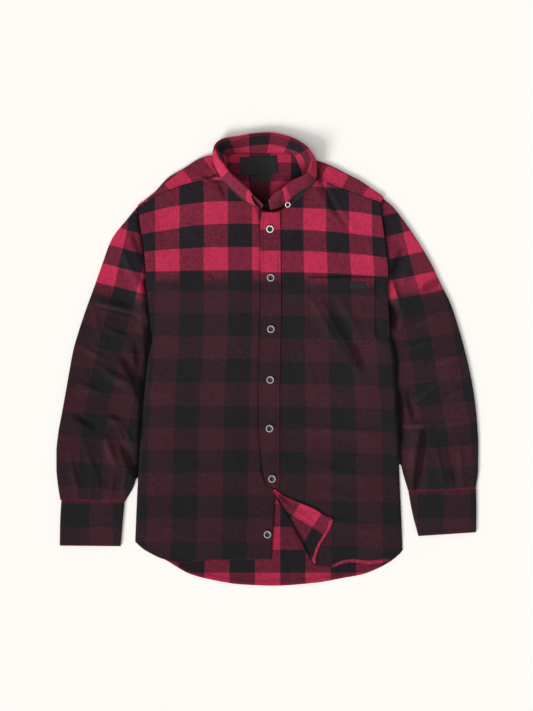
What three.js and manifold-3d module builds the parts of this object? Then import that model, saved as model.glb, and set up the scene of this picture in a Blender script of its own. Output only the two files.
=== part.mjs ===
// Long-sleeved flannel shirt laid flat on its back, buttoned, with one front corner turned back.
// Millimetres. +X is the wearer's left, +Y runs to the collar, +Z is up off the surface it lies on.
import * as THREE from "three";
import { mergeVertices } from "three/addons/utils/BufferGeometryUtils.js";
import Module from "manifold-3d";

const wasm = await Module();
wasm.setup();

// Cloth and layers
const CLOTH = 1.4;
const GAP = 0.3;
const FRONT_TOP = 6.2;
const OVERLAP_TOP = FRONT_TOP - CLOTH - GAP;
const HEM_TOP = 2 * CLOTH + GAP + 0.1;
const ARMHOLE_TOP = FRONT_TOP - 0.4;
const EDGE_ROLL = 7;
const BACK_INSET = 3.8;
const ARMHOLE_GAP = 1;
const YOKE_SEAM_GAP = 0.6;
const TUBE_RADIUS = 2.8;
const TUBE_CROWN = 0.8;
const LABEL = 1;
const HEM_RISE = 32;
const HEM_DROP = 1.6;
const OVERLAP = { outer: -62, run: 42 };
const FLAT_PLACKET = { edge: 24, run: 20 };
const ARMHOLE_RUN = 14;

// Body: side edges at each height, from the shoulder points to the hem corners
const BODY = table("y right left", [
  [291, -236, 209],
  [276, -233, 203.5],
  [243, -228.5, 207.2],
  [190, -220.8, 214.3],
  [152, -217.8, 217],
  [115, -215.5, 216.6],
  [80, -211.3, 218.3],
  [38, -208.3, 221],
  [3, -215, 227.6],
  [-40, -219.5, 230.4],
  [-95, -225, 233.1],
  [-159, -229.7, 236],
  [-211, -232.7, 237.9],
  [-290, -236.3, 241.4],
  [-345, -238.5, 243.5],
]);
const UNDERARM_Y = 38;
const BACK_YOKE_Y = 245;

// Hems, from the wearer's right to the left
const BACK_HEM = table("x y", [
  [-238.5, -328],
  [-219, -344],
  [-185, -360],
  [-139, -386],
  [-105, -395.5],
  [-47, -405],
  [11, -407.3],
  [87, -402],
  [138, -393],
  [170, -387],
  [203, -374],
  [225, -361],
  [243.5, -345],
]);
const RIGHT_HEM = table("x y", [
  [-238.5, -328],
  [-219, -344],
  [-185, -360],
  [-155, -366],
  [-114, -362],
  [-81, -360.7],
  [7.4, -359.6],
]);
const LEFT_HEM = table("x y", [
  [84, -371],
  [115, -374.4],
  [133, -368],
  [153, -365],
  [183, -368],
  [206, -365.6],
  [225, -360],
  [243.5, -344],
]);

// Neck and front yoke seams: the fronts' top edges
const RIGHT_TOP = table("x y", [
  [-233, 272.5],
  [-201, 293],
  [-175, 304.5],
  [-152, 313],
  [-112, 322.7],
  [-79, 329],
  [-63.6, 315.4],
  [-46.6, 298.4],
  [-29.6, 281.9],
  [-14.8, 270.8],
  [18, 264],
]);
const LEFT_TOP = table("x y", [
  [-9.9, 265],
  [8, 264.5],
  [24, 267.5],
  [37, 278.5],
  [50, 292],
  [62, 309],
  [71, 328.5],
  [101, 320],
  [128, 309.5],
  [165, 295.5],
  [209, 280],
]);
const RIGHT_CENTRE = table("y x", [
  [265, 18],
  [-210, 17],
  [-247, 14.2],
  [-303, 10.3],
  [-359.6, 7.4],
]);
const PLACKET_EDGE = table("y left right", [
  [265, -9.9, 22.9],
  [240, -12.4, 23.4],
  [107, -11.3, 24.7],
  [-73, -14.9, 21.8],
  [-131, -13.7, 21.8],
  [-176, -10.3, 21.8],
  [-210, -5.9, 21.8],
  [-229, 1.5, 21.3],
]);
const PLACKET_BOTTOM = { left: -226, right: -233.5 };

// Turned-back corner: the fold runs from A to C, and the cloth reaches across it to its corner
const FOLD_A = new THREE.Vector2(5.8, -231.7);
const FOLD_C = new THREE.Vector2(84.1, -372.1);
const FLAP = table("s reach", [
  [6, 8],
  [24, 14.5],
  [42.5, 28.6],
  [54, 38],
  [73, 52.5],
  [93.4, 63.3],
  [101.4, 70.7],
  [115.4, 57.3],
  [125.6, 39.1],
  [134.8, 24.5],
  [150, 9],
]);
const FLAP_CLOTH = 1.2;
const FOLD_RADIUS = 4.2;
const FOLD_RADIUS_END = 2.1;
const FLAP_ROOT = 3;

// Shoulders, from the neck to each armhole: the ridge that the yoke folds over
const RIGHT_SHOULDER = table("x ridge", [
  [-78, 368],
  [-98, 367],
  [-112, 364.5],
  [-125, 358.7],
  [-152, 341],
  [-175, 327.5],
  [-201, 300],
  [-215, 288.5],
  [-233, 277],
]);
const LEFT_SHOULDER = table("x ridge", [
  [68, 361],
  [90, 357],
  [112, 349],
  [146, 331.6],
  [167, 320.6],
  [189, 305.5],
  [202, 296.8],
  [209, 291],
]);
const YOKE_NECK = { right: -76, left: 67 };
const BACK_NECK = table("x y", [
  [-76, 345],
  [-71, 359],
  [-66, 366],
  [-58, 369.4],
  [-5, 370.4],
  [37, 369.9],
  [47, 365],
  [55, 352],
  [61, 337],
  [67, 331],
]);

// Sleeves: each row is a section, from its outer edge to its inner edge
const RIGHT_SLEEVE = table("outerX outerY innerX innerY", [
  [-233.6, 275, -208.6, 38.3],
  [-252.5, 251.6, -210.2, 31.1],
  [-279.5, 216.5, -212, 23.9],
  [-296.1, 173.3, -213.2, 16.7],
  [-311.9, 128.3, -214.9, 7.7],
  [-325.1, 92.3, -216.2, -3.1],
  [-338.9, 50.9, -217.9, -17.5],
  [-348.8, 16.7, -219.9, -37.3],
  [-356.4, -23.8, -222.7, -66.1],
  [-363.2, -62.5, -225.6, -94.9],
  [-370.4, -102.1, -228, -123.7],
  [-376.2, -134.5, -229.8, -150.7],
  [-379.3, -166.9, -231.5, -175.9],
  [-379.3, -195.7, -233, -199.3],
  [-376.7, -224.5, -240.1, -227.2],
  [-372.2, -252.9, -256.1, -256.1],
]);
const LEFT_SLEEVE = table("outerX outerY innerX innerY", [
  [209.6, 289, 221.3, 37.4],
  [226.3, 274.1, 223.8, 29.3],
  [249.7, 243.5, 226, 22.1],
  [274.9, 205.7, 226.2, 14.9],
  [294.7, 171.5, 228, 4.1],
  [312.7, 133.7, 229.2, -8.5],
  [328.9, 101.3, 230.3, -24.7],
  [342.4, 61.7, 231.3, -44.5],
  [354.1, 20.3, 232.4, -66.1],
  [364, -21.1, 233.5, -89.5],
  [372.2, -67, 234.6, -112.9],
  [377.1, -111.1, 235.9, -139.9],
  [379.4, -156.1, 237, -166.9],
  [379.1, -197.5, 242.5, -199.3],
  [374.9, -232.1, 253.8, -237.9],
]);
const RIGHT_CUFF = table("outerX outerY innerX innerY", [
  [-370.4, -253.3, -256.9, -256.5],
  [-372.6, -294, -260.4, -296],
  [-373.3, -334.8, -263.7, -335.9],
]);
const LEFT_CUFF = table("outerX outerY innerX innerY", [
  [375.5, -232.5, 253.8, -238.3],
  [376, -271.3, 260.5, -275],
  [375.5, -310.9, 271.6, -317.7],
]);
const ARMHOLE_BOW = [1, 0.6, 0.25];

// Largest folds pressed into the upper layer: positive rows are ridges, negative ones troughs
const FOLDS = table("x1 y1 x2 y2 width height", [
  [89, 318, 142, 231, 8, -1.2],
  [102, 316, 152, 236, 8, 1.5],
  [112, 112, 149, 26, 9, -1],
  [149, 26, 168, -14, 8, -0.9],
  [72, -124, 205, -136, 9, 1.1],
  [60, -190, 180, -214, 10, 1],
  [-319, 103, -242, 89, 8, 1.8],
  [-232, 139, -216, 52, 8, 2],
  [-265, 4, -226, -52, 7, -1.2],
  [-298, -16, -242, -50, 8, 1.8],
  [-285, -106, -267, -111, 7, 1.6],
  [-290, -140, -272, -192, 7, 1.8],
  [-267, -115, -238, -160, 7, 1.9],
  [226, 134, 234, 100, 8, 2],
  [266, -72, 307, -41, 7, 1.6],
  [246, -121, 282, -118, 7, 1.5],
  [279, -131, 266, -225, 6, -1.3],
  [268, -131, 257, -222, 7, 1.5],
]);

// Pocket on the wearer's left chest
const POCKET = { left: 194.5, right: 72, top: 147.2 };
const POCKET_BOTTOM = table("x y", [
  [72, 42],
  [77, 38],
  [95, 24.5],
  [170, 24.5],
  [194.5, 37],
]);
const POCKET_LABEL = { x: 162.5, y: 132.6, width: 27, height: 12, turn: 0.02 };

// Labels in the neck
const NECK_LABEL = { x: -15.2, y: 348.5, width: 67, height: 33, turn: 0.06 };
const SIZE_LABEL = { x: -10.6, y: 325.6, width: 38, height: 12, turn: 0.06 };

// Collar: stations from the wearer's right front round the back of the neck to the left front. The seam
// joins the neck, the fold is the crest, and the edge is the fall's free edge, where there is a fall
const COLLAR = table("seamX seamY seamZ foldX foldY foldZ edgeX edgeY edgeZ bulge", [
  [-9.5, 272.5, 5, -6.3, 278, 18, 0, 0, 0, 0],
  [-17.6, 277, 5, -18.5, 288.6, 33, 0, 0, 0, 0],
  [-25.7, 282.6, 4.5, -25.2, 293.1, 39, -12.3, 268.5, 10.5, 3],
  [-36.5, 292.6, 4.5, -31.5, 301.8, 41, -31.1, 275, 9.5, 4],
  [-54.5, 309.2, 4.5, -49.5, 318.8, 41, -62.5, 301.5, 9.5, 4],
  [-68.5, 324.8, 4, -63.9, 331.2, 40, -78.8, 320, 9.5, 4],
  [-71.6, 338.9, 3.6, -76.8, 347.9, 37, -91.4, 340.7, 9.5, 4],
  [-71, 352.3, 3.6, -86.8, 361.4, 33, -96.8, 356.9, 9.5, 3],
  [-69.6, 364.1, 3.6, -92.7, 378.7, 26, -97.7, 372.3, 7.5, 1],
  [-62.3, 370.1, 3.6, -80.5, 393.5, 18, -76.9, 375.1, 0, 0.5],
  [-45.5, 370.5, 3.6, -49.1, 399.6, 14.5, -47.3, 375, 0, 0.5],
  [-23.9, 370.9, 3.6, -22.1, 404.4, 14, -23.9, 375, 0, 0.5],
  [-2.3, 371.3, 3.6, 3.1, 405.85, 14, -0.5, 375.4, 0, 0.5],
  [21.1, 371.2, 3.6, 30.1, 401.2, 15, 22.9, 375.9, 0, 0.5],
  [39.1, 370.8, 3.6, 57.3, 388.8, 19, 43.7, 376.4, 0, 0.5],
  [49.9, 364.2, 3.6, 73.3, 374.1, 26, 76.1, 372.6, 6.5, 1],
  [57, 348.9, 3.6, 79.6, 357.9, 33, 86.8, 354.3, 9.5, 3],
  [61.8, 334.5, 3.6, 75.1, 341.7, 38, 89.1, 331.7, 9.5, 4],
  [62, 320.6, 4, 65.2, 328.2, 41, 83.1, 313.7, 9.5, 4],
  [52.6, 306.2, 4.5, 49.9, 321.4, 42, 66.8, 297.2, 9.5, 4],
  [40, 291.8, 4.5, 37.3, 313.8, 42, 52.4, 285, 9.5, 4],
  [27.6, 279.8, 4.5, 26.1, 304.8, 40, 36, 267.5, 10.5, 4],
  [15.5, 271.6, 5, 13, 299.3, 26, 0, 0, 0, 0],
  [5.6, 269.4, 5, 1.6, 287.5, 17, 0, 0, 0, 0],
]);
const TAB_STATIONS = 2;
const FOLD_ROLL = 2.7;
const STAND_ROWS = 4;
const FALL_ROWS = 5;

// Buttons down the front with their tilt in degrees. The sixth is half out of its buttonhole, and the last
// one is on the right front, below the turned-back corner
const BUTTON = { diameter: 13.3, thickness: 3, rim: 1.9, well: 1.1, hole: 1.6, pitch: 3 };
const COLLAR_BUTTON = { diameter: 10, thickness: 2.4, rim: 1.4, well: 0.8, hole: 1.2, pitch: 2.3 };
const FRONT_BUTTONS = table("x y tilt", [
  [4.9, 233.6, 0],
  [6.1, 146.5, 0],
  [6.5, 54.2, 0],
  [5.2, -36.9, 0],
  [4, -124.2, 0],
  [8.1, -214.5, 7],
  [0.4, -314.8, 0],
]);
const COLLAR_BUTTON_PLACE = { x: 37.5, y: 279.5 };

// A table's rows as objects with named columns
function table(names, rows) {
  const keys = names.split(" ");
  return rows.map((row) => Object.fromEntries(keys.map((key, k) => [key, row[k]])));
}

// Smooth curve through a table that never swings past its rows: one column against another
function curve(rows, key, column) {
  const points = rows.map((row) => [row[key], row[column]]).sort((a, b) => a[0] - b[0]);
  const last = points.length - 1;
  const chord = (k) => (points[k + 1][1] - points[k][1]) / (points[k + 1][0] - points[k][0]);
  const slopes = points.map((_, k) => {
    const before = chord(Math.max(k - 1, 0));
    const after = chord(Math.min(k, last - 1));
    return before * after <= 0 ? 0 : (2 * before * after) / (before + after);
  });
  return (at) => {
    let k = 0;
    while (k < last - 1 && at > points[k + 1][0]) k += 1;
    const span = points[k + 1][0] - points[k][0];
    const t = THREE.MathUtils.clamp((at - points[k][0]) / span, 0, 1);
    const rise = points[k + 1][1] - points[k][1];
    const bend = t * (1 - t) * ((slopes[k] * span - rise) * (1 - t) - (slopes[k + 1] * span - rise) * t);
    return points[k][1] + rise * t + bend;
  };
}

const lerp = THREE.MathUtils.lerp;
const smooth = (t) => THREE.MathUtils.smoothstep(t, 0, 1);
const finalRow = (rows) => rows[rows.length - 1];
const steps = (count) => Array.from({ length: count + 1 }, (_, k) => k / count);

// Sum of the folds at a place, each a soft ridge or trough that fades at its ends
function foldHeight(x, y) {
  let total = 0;
  for (const fold of FOLDS) {
    const run = new THREE.Vector2(fold.x2 - fold.x1, fold.y2 - fold.y1);
    const from = new THREE.Vector2(x - fold.x1, y - fold.y1);
    const t = THREE.MathUtils.clamp(from.dot(run) / run.lengthSq(), 0, 1);
    const away = from.sub(run.multiplyScalar(t)).length() / fold.width;
    total += fold.height * Math.exp(-away * away) * Math.sin(Math.PI * lerp(0.12, 0.88, t));
  }
  return total;
}

// Closed wall of cloth: a grid of points on its face, and the same points moved in by its thickness
function wall(iCount, jCount, face, { thickness = CLOTH, wrap = false, keep = () => true } = {}) {
  const columns = wrap ? iCount : iCount + 1;
  const id = (i, j) => (i % columns) * (jCount + 1) + j;
  const outer = [];
  for (let i = 0; i < columns; i += 1) for (let j = 0; j <= jCount; j += 1) outer.push(face(i, j));
  const normals = outer.map(() => new THREE.Vector3());
  const isKept = (i, j) => {
    if (j < 0 || j >= jCount) return false;
    if (!wrap && (i < 0 || i >= iCount)) return false;
    return keep((i + iCount) % iCount, j);
  };
  const cells = [];
  for (let i = 0; i < iCount; i += 1) {
    for (let j = 0; j < jCount; j += 1) {
      if (!isKept(i, j)) continue;
      const corners = [id(i, j), id(i + 1, j), id(i + 1, j + 1), id(i, j + 1)];
      const across = outer[corners[2]].clone().sub(outer[corners[0]]);
      const other = outer[corners[3]].clone().sub(outer[corners[1]]);
      const normal = across.cross(other).normalize();
      corners.forEach((corner) => normals[corner].add(normal));
      const open = [!isKept(i, j - 1), !isKept(i + 1, j), !isKept(i, j + 1), !isKept(i - 1, j)];
      cells.push({ corners, open });
    }
  }
  const inner = outer.map((point, k) => {
    const moved = point.clone().addScaledVector(normals[k].normalize(), -thickness);
    moved.z = Math.max(moved.z, 0);
    return moved;
  });
  const index = [];
  const shift = outer.length;
  for (const { corners, open } of cells) {
    const [a, b, c, d] = corners;
    index.push(a, b, c, a, c, d);
    index.push(a + shift, c + shift, b + shift, a + shift, d + shift, c + shift);
    open.forEach((isOpen, side) => {
      if (!isOpen) return;
      const from = corners[side];
      const to = corners[(side + 1) % 4];
      index.push(to, from, from + shift, to, from + shift, to + shift);
    });
  }
  return { geometry: compact([...outer, ...inner], index), outer, cells };
}

// Geometry with only the points that its triangles use
function compact(points, index) {
  const used = [...new Set(index)];
  const place = new Map(used.map((k, at) => [k, at]));
  const geometry = new THREE.BufferGeometry();
  const flat = used.flatMap((k) => points[k].toArray());
  geometry.setAttribute("position", new THREE.Float32BufferAttribute(flat, 3));
  geometry.setIndex(index.map((k) => place.get(k)));
  geometry.computeVertexNormals();
  return geometry;
}

// Height of a wall's face over a place, or the highest found close round it. Past the wall's edge it is
// the fronts' usual height
function heightOver(panel) {
  const at = (x, y) => {
    let best = -Infinity;
    for (const { corners } of panel.cells) {
      for (const [p, q, r] of [[0, 1, 2], [0, 2, 3]]) {
        const a = panel.outer[corners[p]];
        const b = panel.outer[corners[q]];
        const c = panel.outer[corners[r]];
        const area = (b.x - a.x) * (c.y - a.y) - (c.x - a.x) * (b.y - a.y);
        if (Math.abs(area) < 1e-9) continue;
        const u = ((x - a.x) * (c.y - a.y) - (c.x - a.x) * (y - a.y)) / area;
        const v = ((b.x - a.x) * (y - a.y) - (x - a.x) * (b.y - a.y)) / area;
        if (u < -1e-6 || v < -1e-6 || u + v > 1 + 1e-6) continue;
        best = Math.max(best, a.z + u * (b.z - a.z) + v * (c.z - a.z));
      }
    }
    return best;
  };
  return (x, y, reach = 0) => {
    let best = at(x, y);
    if (reach > 0) {
      for (const turn of steps(7)) {
        const angle = turn * 2 * Math.PI;
        best = Math.max(best, at(x + reach * Math.cos(angle), y + reach * Math.sin(angle)));
      }
    }
    return Number.isFinite(best) ? best : FRONT_TOP;
  };
}

function asManifold(geometry) {
  const bare = geometry.clone();
  bare.deleteAttribute("normal");
  bare.deleteAttribute("uv");
  const merged = mergeVertices(bare, 1e-4);
  const mesh = new wasm.Mesh({
    numProp: 3,
    vertProperties: new Float32Array(merged.attributes.position.array),
    triVerts: new Uint32Array(merged.index.array),
  });
  return new wasm.Manifold(mesh);
}

function asGeometry(manifold) {
  const mesh = manifold.getMesh();
  const geometry = new THREE.BufferGeometry();
  geometry.setAttribute("position", new THREE.Float32BufferAttribute(mesh.vertProperties, 3));
  geometry.setIndex([...mesh.triVerts]);
  geometry.computeVertexNormals();
  return geometry;
}

const shirt = new THREE.Group();
shirt.name = "flannel_shirt";

function add(name, geometry, color, roughness = 0.95, metalness = 0) {
  const material = new THREE.MeshStandardMaterial({ color, roughness, metalness });
  const mesh = new THREE.Mesh(geometry, material);
  mesh.name = name;
  shirt.add(mesh);
  return mesh;
}

const COLOURS = {
  dyed: "#33262b",
  red: "#b62d4d",
  placket: "#4a2430",
  label: "#17171a",
  button: "#c9c6c2",
  collarButton: "#efeae4",
};

const rightEdge = curve(BODY, "y", "right");
const leftEdge = curve(BODY, "y", "left");
const backHem = curve(BACK_HEM, "x", "y");

// Back panel: flat on the surface, from the tail to the yoke seam, just inside the fronts' rolled edges
function buildBack() {
  const columns = 16;
  const rows = 14;
  const corners = { right: BACK_HEM[0].x, left: finalRow(BACK_HEM).x };
  const inset = (y) => lerp(BACK_INSET, ARMHOLE_GAP, smooth((y - UNDERARM_Y) / ARMHOLE_RUN));
  return wall(columns, rows, (i, j) => {
    const u = 1 - i / columns;
    const guess = lerp(corners.right, corners.left, u);
    const y = lerp(backHem(guess), BACK_YOKE_Y - GAP, j / rows);
    const x = lerp(rightEdge(y) + inset(y), leftEdge(y) - inset(y), u);
    return new THREE.Vector3(x, j === 0 ? backHem(x) : y, 0);
  });
}

// Front panel between its centre edge, side edge, hem and top edge. Across it u runs from the centre to
// the side, and up it v runs from the hem to the top
function buildFront({ centre, side, hem, top, height, across, rows }) {
  const corner = { a: hem(0), b: hem(1), c: top(0), d: top(1) };
  const towardsLeft = corner.b.x > corner.a.x;
  return wall(across.length - 1, rows.length - 1, (i, j) => {
    const u = across[towardsLeft ? i : across.length - 1 - i];
    const v = rows[j];
    const blend = (axis) =>
      lerp(centre(v)[axis], side(v)[axis], u) +
      lerp(hem(u)[axis], top(u)[axis], v) -
      lerp(lerp(corner.a[axis], corner.b[axis], u), lerp(corner.c[axis], corner.d[axis], u), v);
    const x = blend("x");
    const y = blend("y");
    return new THREE.Vector3(x, y, height(x, y, u, v));
  });
}

// Roll of the upper layer down to the surface at a side seam, or level into the armhole seam
function rolled(top, away, y) {
  const edge = lerp(0, ARMHOLE_TOP, smooth((y - UNDERARM_Y + 4) / ARMHOLE_RUN));
  const t = THREE.MathUtils.clamp(away / EDGE_ROLL, 0, 1);
  return edge + (top - edge) * Math.sqrt(1 - (1 - t) ** 2);
}

const EDGE_STEPS = [0, 0.5, 2, 4.2, EDGE_ROLL];
const PANEL_ROWS = [0, 0.012, 0.03, 0.06, ...steps(22).slice(2)];

// Places across a panel: the named breaks, then close together over the rolled edge
function acrossPanel(width, breaks) {
  const edge = EDGE_STEPS.map((away) => 1 - away / width);
  return [...breaks, ...edge].sort((a, b) => a - b);
}

function buildFrontRight() {
  const hemY = curve(RIGHT_HEM, "x", "y");
  const topY = curve(RIGHT_TOP, "x", "y");
  const centreX = curve(RIGHT_CENTRE, "y", "x");
  const hemEnds = { centre: finalRow(RIGHT_HEM).x, side: RIGHT_HEM[0].x };
  const topEnds = { centre: finalRow(RIGHT_TOP).x, side: RIGHT_TOP[0].x };
  const width = topEnds.centre - hemEnds.side - EDGE_ROLL;
  const point = (x, y) => ({ x, y });
  return buildFront({
    centre: (v) => {
      const y = lerp(hemY(hemEnds.centre), topY(topEnds.centre), v);
      return point(centreX(y), y);
    },
    side: (v) => {
      const y = lerp(hemY(hemEnds.side), topY(topEnds.side), v);
      return point(rightEdge(y), y);
    },
    hem: (u) => {
      const x = lerp(hemEnds.centre, hemEnds.side, u);
      return point(x, hemY(x));
    },
    top: (u) => {
      const x = lerp(topEnds.centre, topEnds.side, u);
      return point(x, topY(x));
    },
    height: (x, y) => {
      const under = smooth((x - OVERLAP.outer) / OVERLAP.run);
      const level = lerp(FRONT_TOP, OVERLAP_TOP, under) + foldHeight(x, y) * (1 - under);
      const above = y - hemY(x);
      const top = lerp(HEM_TOP, level, smooth(above / HEM_RISE));
      return rolled(top, x - rightEdge(y), y);
    },
    across: acrossPanel(width, [0, 0.06, 0.12, 0.18, 0.25, 0.34, 0.42, 0.5, 0.59, 0.68, 0.77, 0.86, 0.92]),
    rows: PANEL_ROWS,
  });
}

const foldRun = FOLD_C.clone().sub(FOLD_A);
const foldAlong = foldRun.clone().normalize();
const foldAcross = new THREE.Vector2(-foldAlong.y, foldAlong.x);
const foldReach = curve(FLAP, "s", "reach");
const foldEnds = { start: FLAP[0].s, end: finalRow(FLAP).s };

// Radius of the bend, smaller towards the fold's ends
function foldRadius(s) {
  const t = Math.min(s - foldEnds.start, foldEnds.end - s) / 30;
  return lerp(FOLD_RADIUS_END, FOLD_RADIUS, smooth(t));
}

function onFlap(s, across) {
  return FOLD_A.clone().addScaledVector(foldAlong, s).addScaledVector(foldAcross, across);
}

function buildFrontLeft() {
  const hemY = curve(LEFT_HEM, "x", "y");
  const topY = curve(LEFT_TOP, "x", "y");
  const centreX = curve(PLACKET_EDGE, "y", "left");
  const hemSide = finalRow(LEFT_HEM).x;
  const topEnds = { centre: LEFT_TOP[0].x, side: leftEdge(BODY[1].y) + 1 };
  const width = hemSide - FOLD_A.x;
  const length = foldRun.length();
  const turnU = 0.34;
  const point = (x, y) => ({ x, y });
  const hem = (u) => {
    if (u <= turnU) {
      const s = (u / turnU) * length;
      return onFlap(s, foldRadius(THREE.MathUtils.clamp(s, foldEnds.start, foldEnds.end)));
    }
    const start = onFlap(length, FOLD_RADIUS_END);
    const x = lerp(start.x, hemSide, (u - turnU) / (1 - turnU));
    return point(x, hemY(x));
  };
  return buildFront({
    centre: (v) => {
      const y = lerp(hem(0).y, topY(topEnds.centre), v);
      const settle = smooth(v / 0.06);
      return point(lerp(hem(0).x, centreX(y), settle), y);
    },
    side: (v) => {
      const y = lerp(hemY(hemSide), topY(topEnds.side), v);
      return point(leftEdge(y), y);
    },
    hem,
    top: (u) => {
      const x = lerp(topEnds.centre, topEnds.side, u);
      return point(x, topY(x));
    },
    height: (x, y) => {
      const above = y - hemY(x);
      const drop = HEM_DROP * (1 - smooth(above / HEM_RISE)) * smooth((x - FOLD_C.x - 6) / 50);
      const flat = smooth((x - FLAT_PLACKET.edge) / FLAT_PLACKET.run);
      return rolled(FRONT_TOP - drop + foldHeight(x, y) * flat, leftEdge(y) - x, y);
    },
    across: acrossPanel(
      width, [0, 0.04, 0.075, 0.11, 0.15, 0.2, 0.25, 0.295, turnU, 0.4, 0.46, 0.53, 0.6, 0.67, 0.75, 0.83, 0.9],
    ),
    rows: PANEL_ROWS,
  });
}

// Turned-back corner: out of the panel, round the fold and back over it, inside face up
function buildFlap(panelTop) {
  const rootZ = FRONT_TOP - CLOTH + 0.1;
  const turns = [45, 90, 135, 180].map((degrees) => (degrees * Math.PI) / 180);
  const flatRows = 5;
  const sections = 18;
  const rows = 1 + turns.length + flatRows;
  return wall(sections, rows, (i, j) => {
    const s = lerp(foldEnds.start, foldEnds.end, i / sections);
    const radius = foldRadius(s);
    if (j <= 1) {
      const at = onFlap(s, j === 0 ? radius + FLAP_ROOT : radius);
      return new THREE.Vector3(at.x, at.y, rootZ);
    }
    if (j <= 1 + turns.length) {
      const angle = turns[j - 2];
      const at = onFlap(s, radius - radius * Math.sin(angle));
      return new THREE.Vector3(at.x, at.y, rootZ + radius - radius * Math.cos(angle));
    }
    const t = (j - 1 - turns.length) / flatRows;
    const at = onFlap(s, lerp(radius, Math.max(foldReach(s), radius + 4), t));
    const bent = rootZ + 2 * radius;
    const laid = panelTop(at.x, at.y, 4) + GAP + FLAP_CLOTH;
    return new THREE.Vector3(at.x, at.y, Math.max(lerp(bent, laid, smooth(t * 1.3)), laid + 0.1));
  }, { thickness: FLAP_CLOTH });
}

// Placket: the folded band on the left front, made from the panel's face moved out
function buildPlacket(panelTop) {
  const left = curve(PLACKET_EDGE, "y", "left");
  const right = curve(PLACKET_EDGE, "y", "right");
  const columns = 3;
  const rows = 26;
  return wall(columns, rows, (i, j) => {
    const u = i / columns;
    const bottom = lerp(PLACKET_BOTTOM.left, PLACKET_BOTTOM.right, u);
    const y = lerp(bottom, PLACKET_EDGE[0].y - 1, j / rows);
    const x = lerp(left(y) + 0.4, right(y), u);
    return new THREE.Vector3(x, y, panelTop(x, y, 5) + GAP + CLOTH);
  });
}

// Patch pocket with its lower corners cut off
function buildPocket(panelTop) {
  const bottom = curve(POCKET_BOTTOM, "x", "y");
  const across = [0, 0.05, 0.18, 0.32, 0.46, 0.6, 0.72, 0.8, 0.9, 1];
  const rows = 9;
  return wall(across.length - 1, rows, (i, j) => {
    const x = lerp(POCKET.right, POCKET.left, across[i]);
    const y = lerp(bottom(x), POCKET.top, j / rows);
    return new THREE.Vector3(x, y, panelTop(x, y, 7) + GAP + CLOTH);
  });
}

// Flat label with slightly rounded corners, lying at a given height
function buildLabel({ x, y, width, height, turn }, base, thickness = LABEL) {
  const round = 0.8;
  const shape = new THREE.Shape();
  const [w, h] = [width / 2, height / 2];
  shape.moveTo(-w + round, -h);
  shape.lineTo(w - round, -h);
  shape.lineTo(w, -h + round);
  shape.lineTo(w, h - round);
  shape.lineTo(w - round, h);
  shape.lineTo(-w + round, h);
  shape.lineTo(-w, h - round);
  shape.lineTo(-w, -h + round);
  shape.closePath();
  const geometry = new THREE.ExtrudeGeometry(shape, { depth: thickness, bevelEnabled: false });
  geometry.rotateZ(turn);
  geometry.translate(x, y, base);
  return geometry;
}

// Yoke: one piece over both shoulders. Each column runs from the back yoke seam up to the neck seam, or
// past it over the folded ridge and down to the front yoke seam
function buildYoke() {
  const neckColumns = 12;
  const sideColumns = 9;
  const lowerRows = 5;
  const turns = [0, 40, 90, 140, 180].map((degrees) => (degrees * Math.PI) / 180);
  const upperRows = 2;
  const radius = FRONT_TOP / 2;
  const columns = neckColumns + 2 * sideColumns;
  const rows = lowerRows + turns.length - 1 + upperRows;
  const backNeck = curve(BACK_NECK, "x", "y");
  const sides = {
    right: { rows: RIGHT_SHOULDER, top: RIGHT_TOP, neck: YOKE_NECK.right, edge: rightEdge },
    left: { rows: LEFT_SHOULDER, top: LEFT_TOP, neck: YOKE_NECK.left, edge: leftEdge },
  };
  for (const side of Object.values(sides)) {
    side.ridge = curve(side.rows, "x", "ridge");
    side.seam = curve(side.top, "x", "y");
    side.tip = finalRow(side.rows);
  }
  const neckPoint = (i, j) => {
    const x = lerp(YOKE_NECK.left, YOKE_NECK.right, (i - sideColumns) / neckColumns);
    const y = lerp(BACK_YOKE_Y, backNeck(x), Math.min(j / lowerRows, 1));
    return new THREE.Vector3(x, y, 0);
  };
  const sidePoint = (side, f, j) => {
    const nominal = lerp(side.neck, side.edge(side.tip.ridge - radius), f);
    const ridge = side.ridge(nominal);
    const seamX = f === 0 ? side.neck * 1.06 : lerp(side.neck, side.edge(side.seam(nominal)), f);
    const seam = side.seam(seamX) + YOKE_SEAM_GAP * (f === 0 ? 3 : 1);
    const arcStart = ridge - radius;
    let y;
    let z = 0;
    if (j < lowerRows) {
      const start = f === 0 ? backNeck(side.neck) : lerp(backNeck(side.neck), arcStart, 0.9);
      const reach = f === 0 ? start : Math.min(start, arcStart - 1);
      y = lerp(BACK_YOKE_Y, reach, j / lowerRows);
    } else if (j < lowerRows + turns.length) {
      const angle = turns[j - lowerRows];
      y = arcStart + radius * Math.sin(angle);
      z = radius - radius * Math.cos(angle);
    } else {
      const t = (j - lowerRows - turns.length + 1) / upperRows;
      y = lerp(arcStart, Math.min(seam, arcStart - 0.5), t);
      z = FRONT_TOP;
    }
    const x = f === 0 ? side.neck : lerp(side.neck, side.edge(y) + (side.neck > 0 ? -GAP : GAP), f);
    return new THREE.Vector3(x, y, z + (z >= FRONT_TOP ? foldHeight(x, y) * 0.5 : 0));
  };
  return wall(columns, rows, (i, j) => {
    if (i > sideColumns && i < columns - sideColumns) return neckPoint(i, j);
    const onLeft = i <= sideColumns;
    const f = onLeft ? 1 - i / sideColumns : (i - columns + sideColumns) / sideColumns;
    return sidePoint(onLeft ? sides.left : sides.right, f, j);
  }, { keep: (i, j) => i < sideColumns || i >= columns - sideColumns || j < lowerRows });
}

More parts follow.
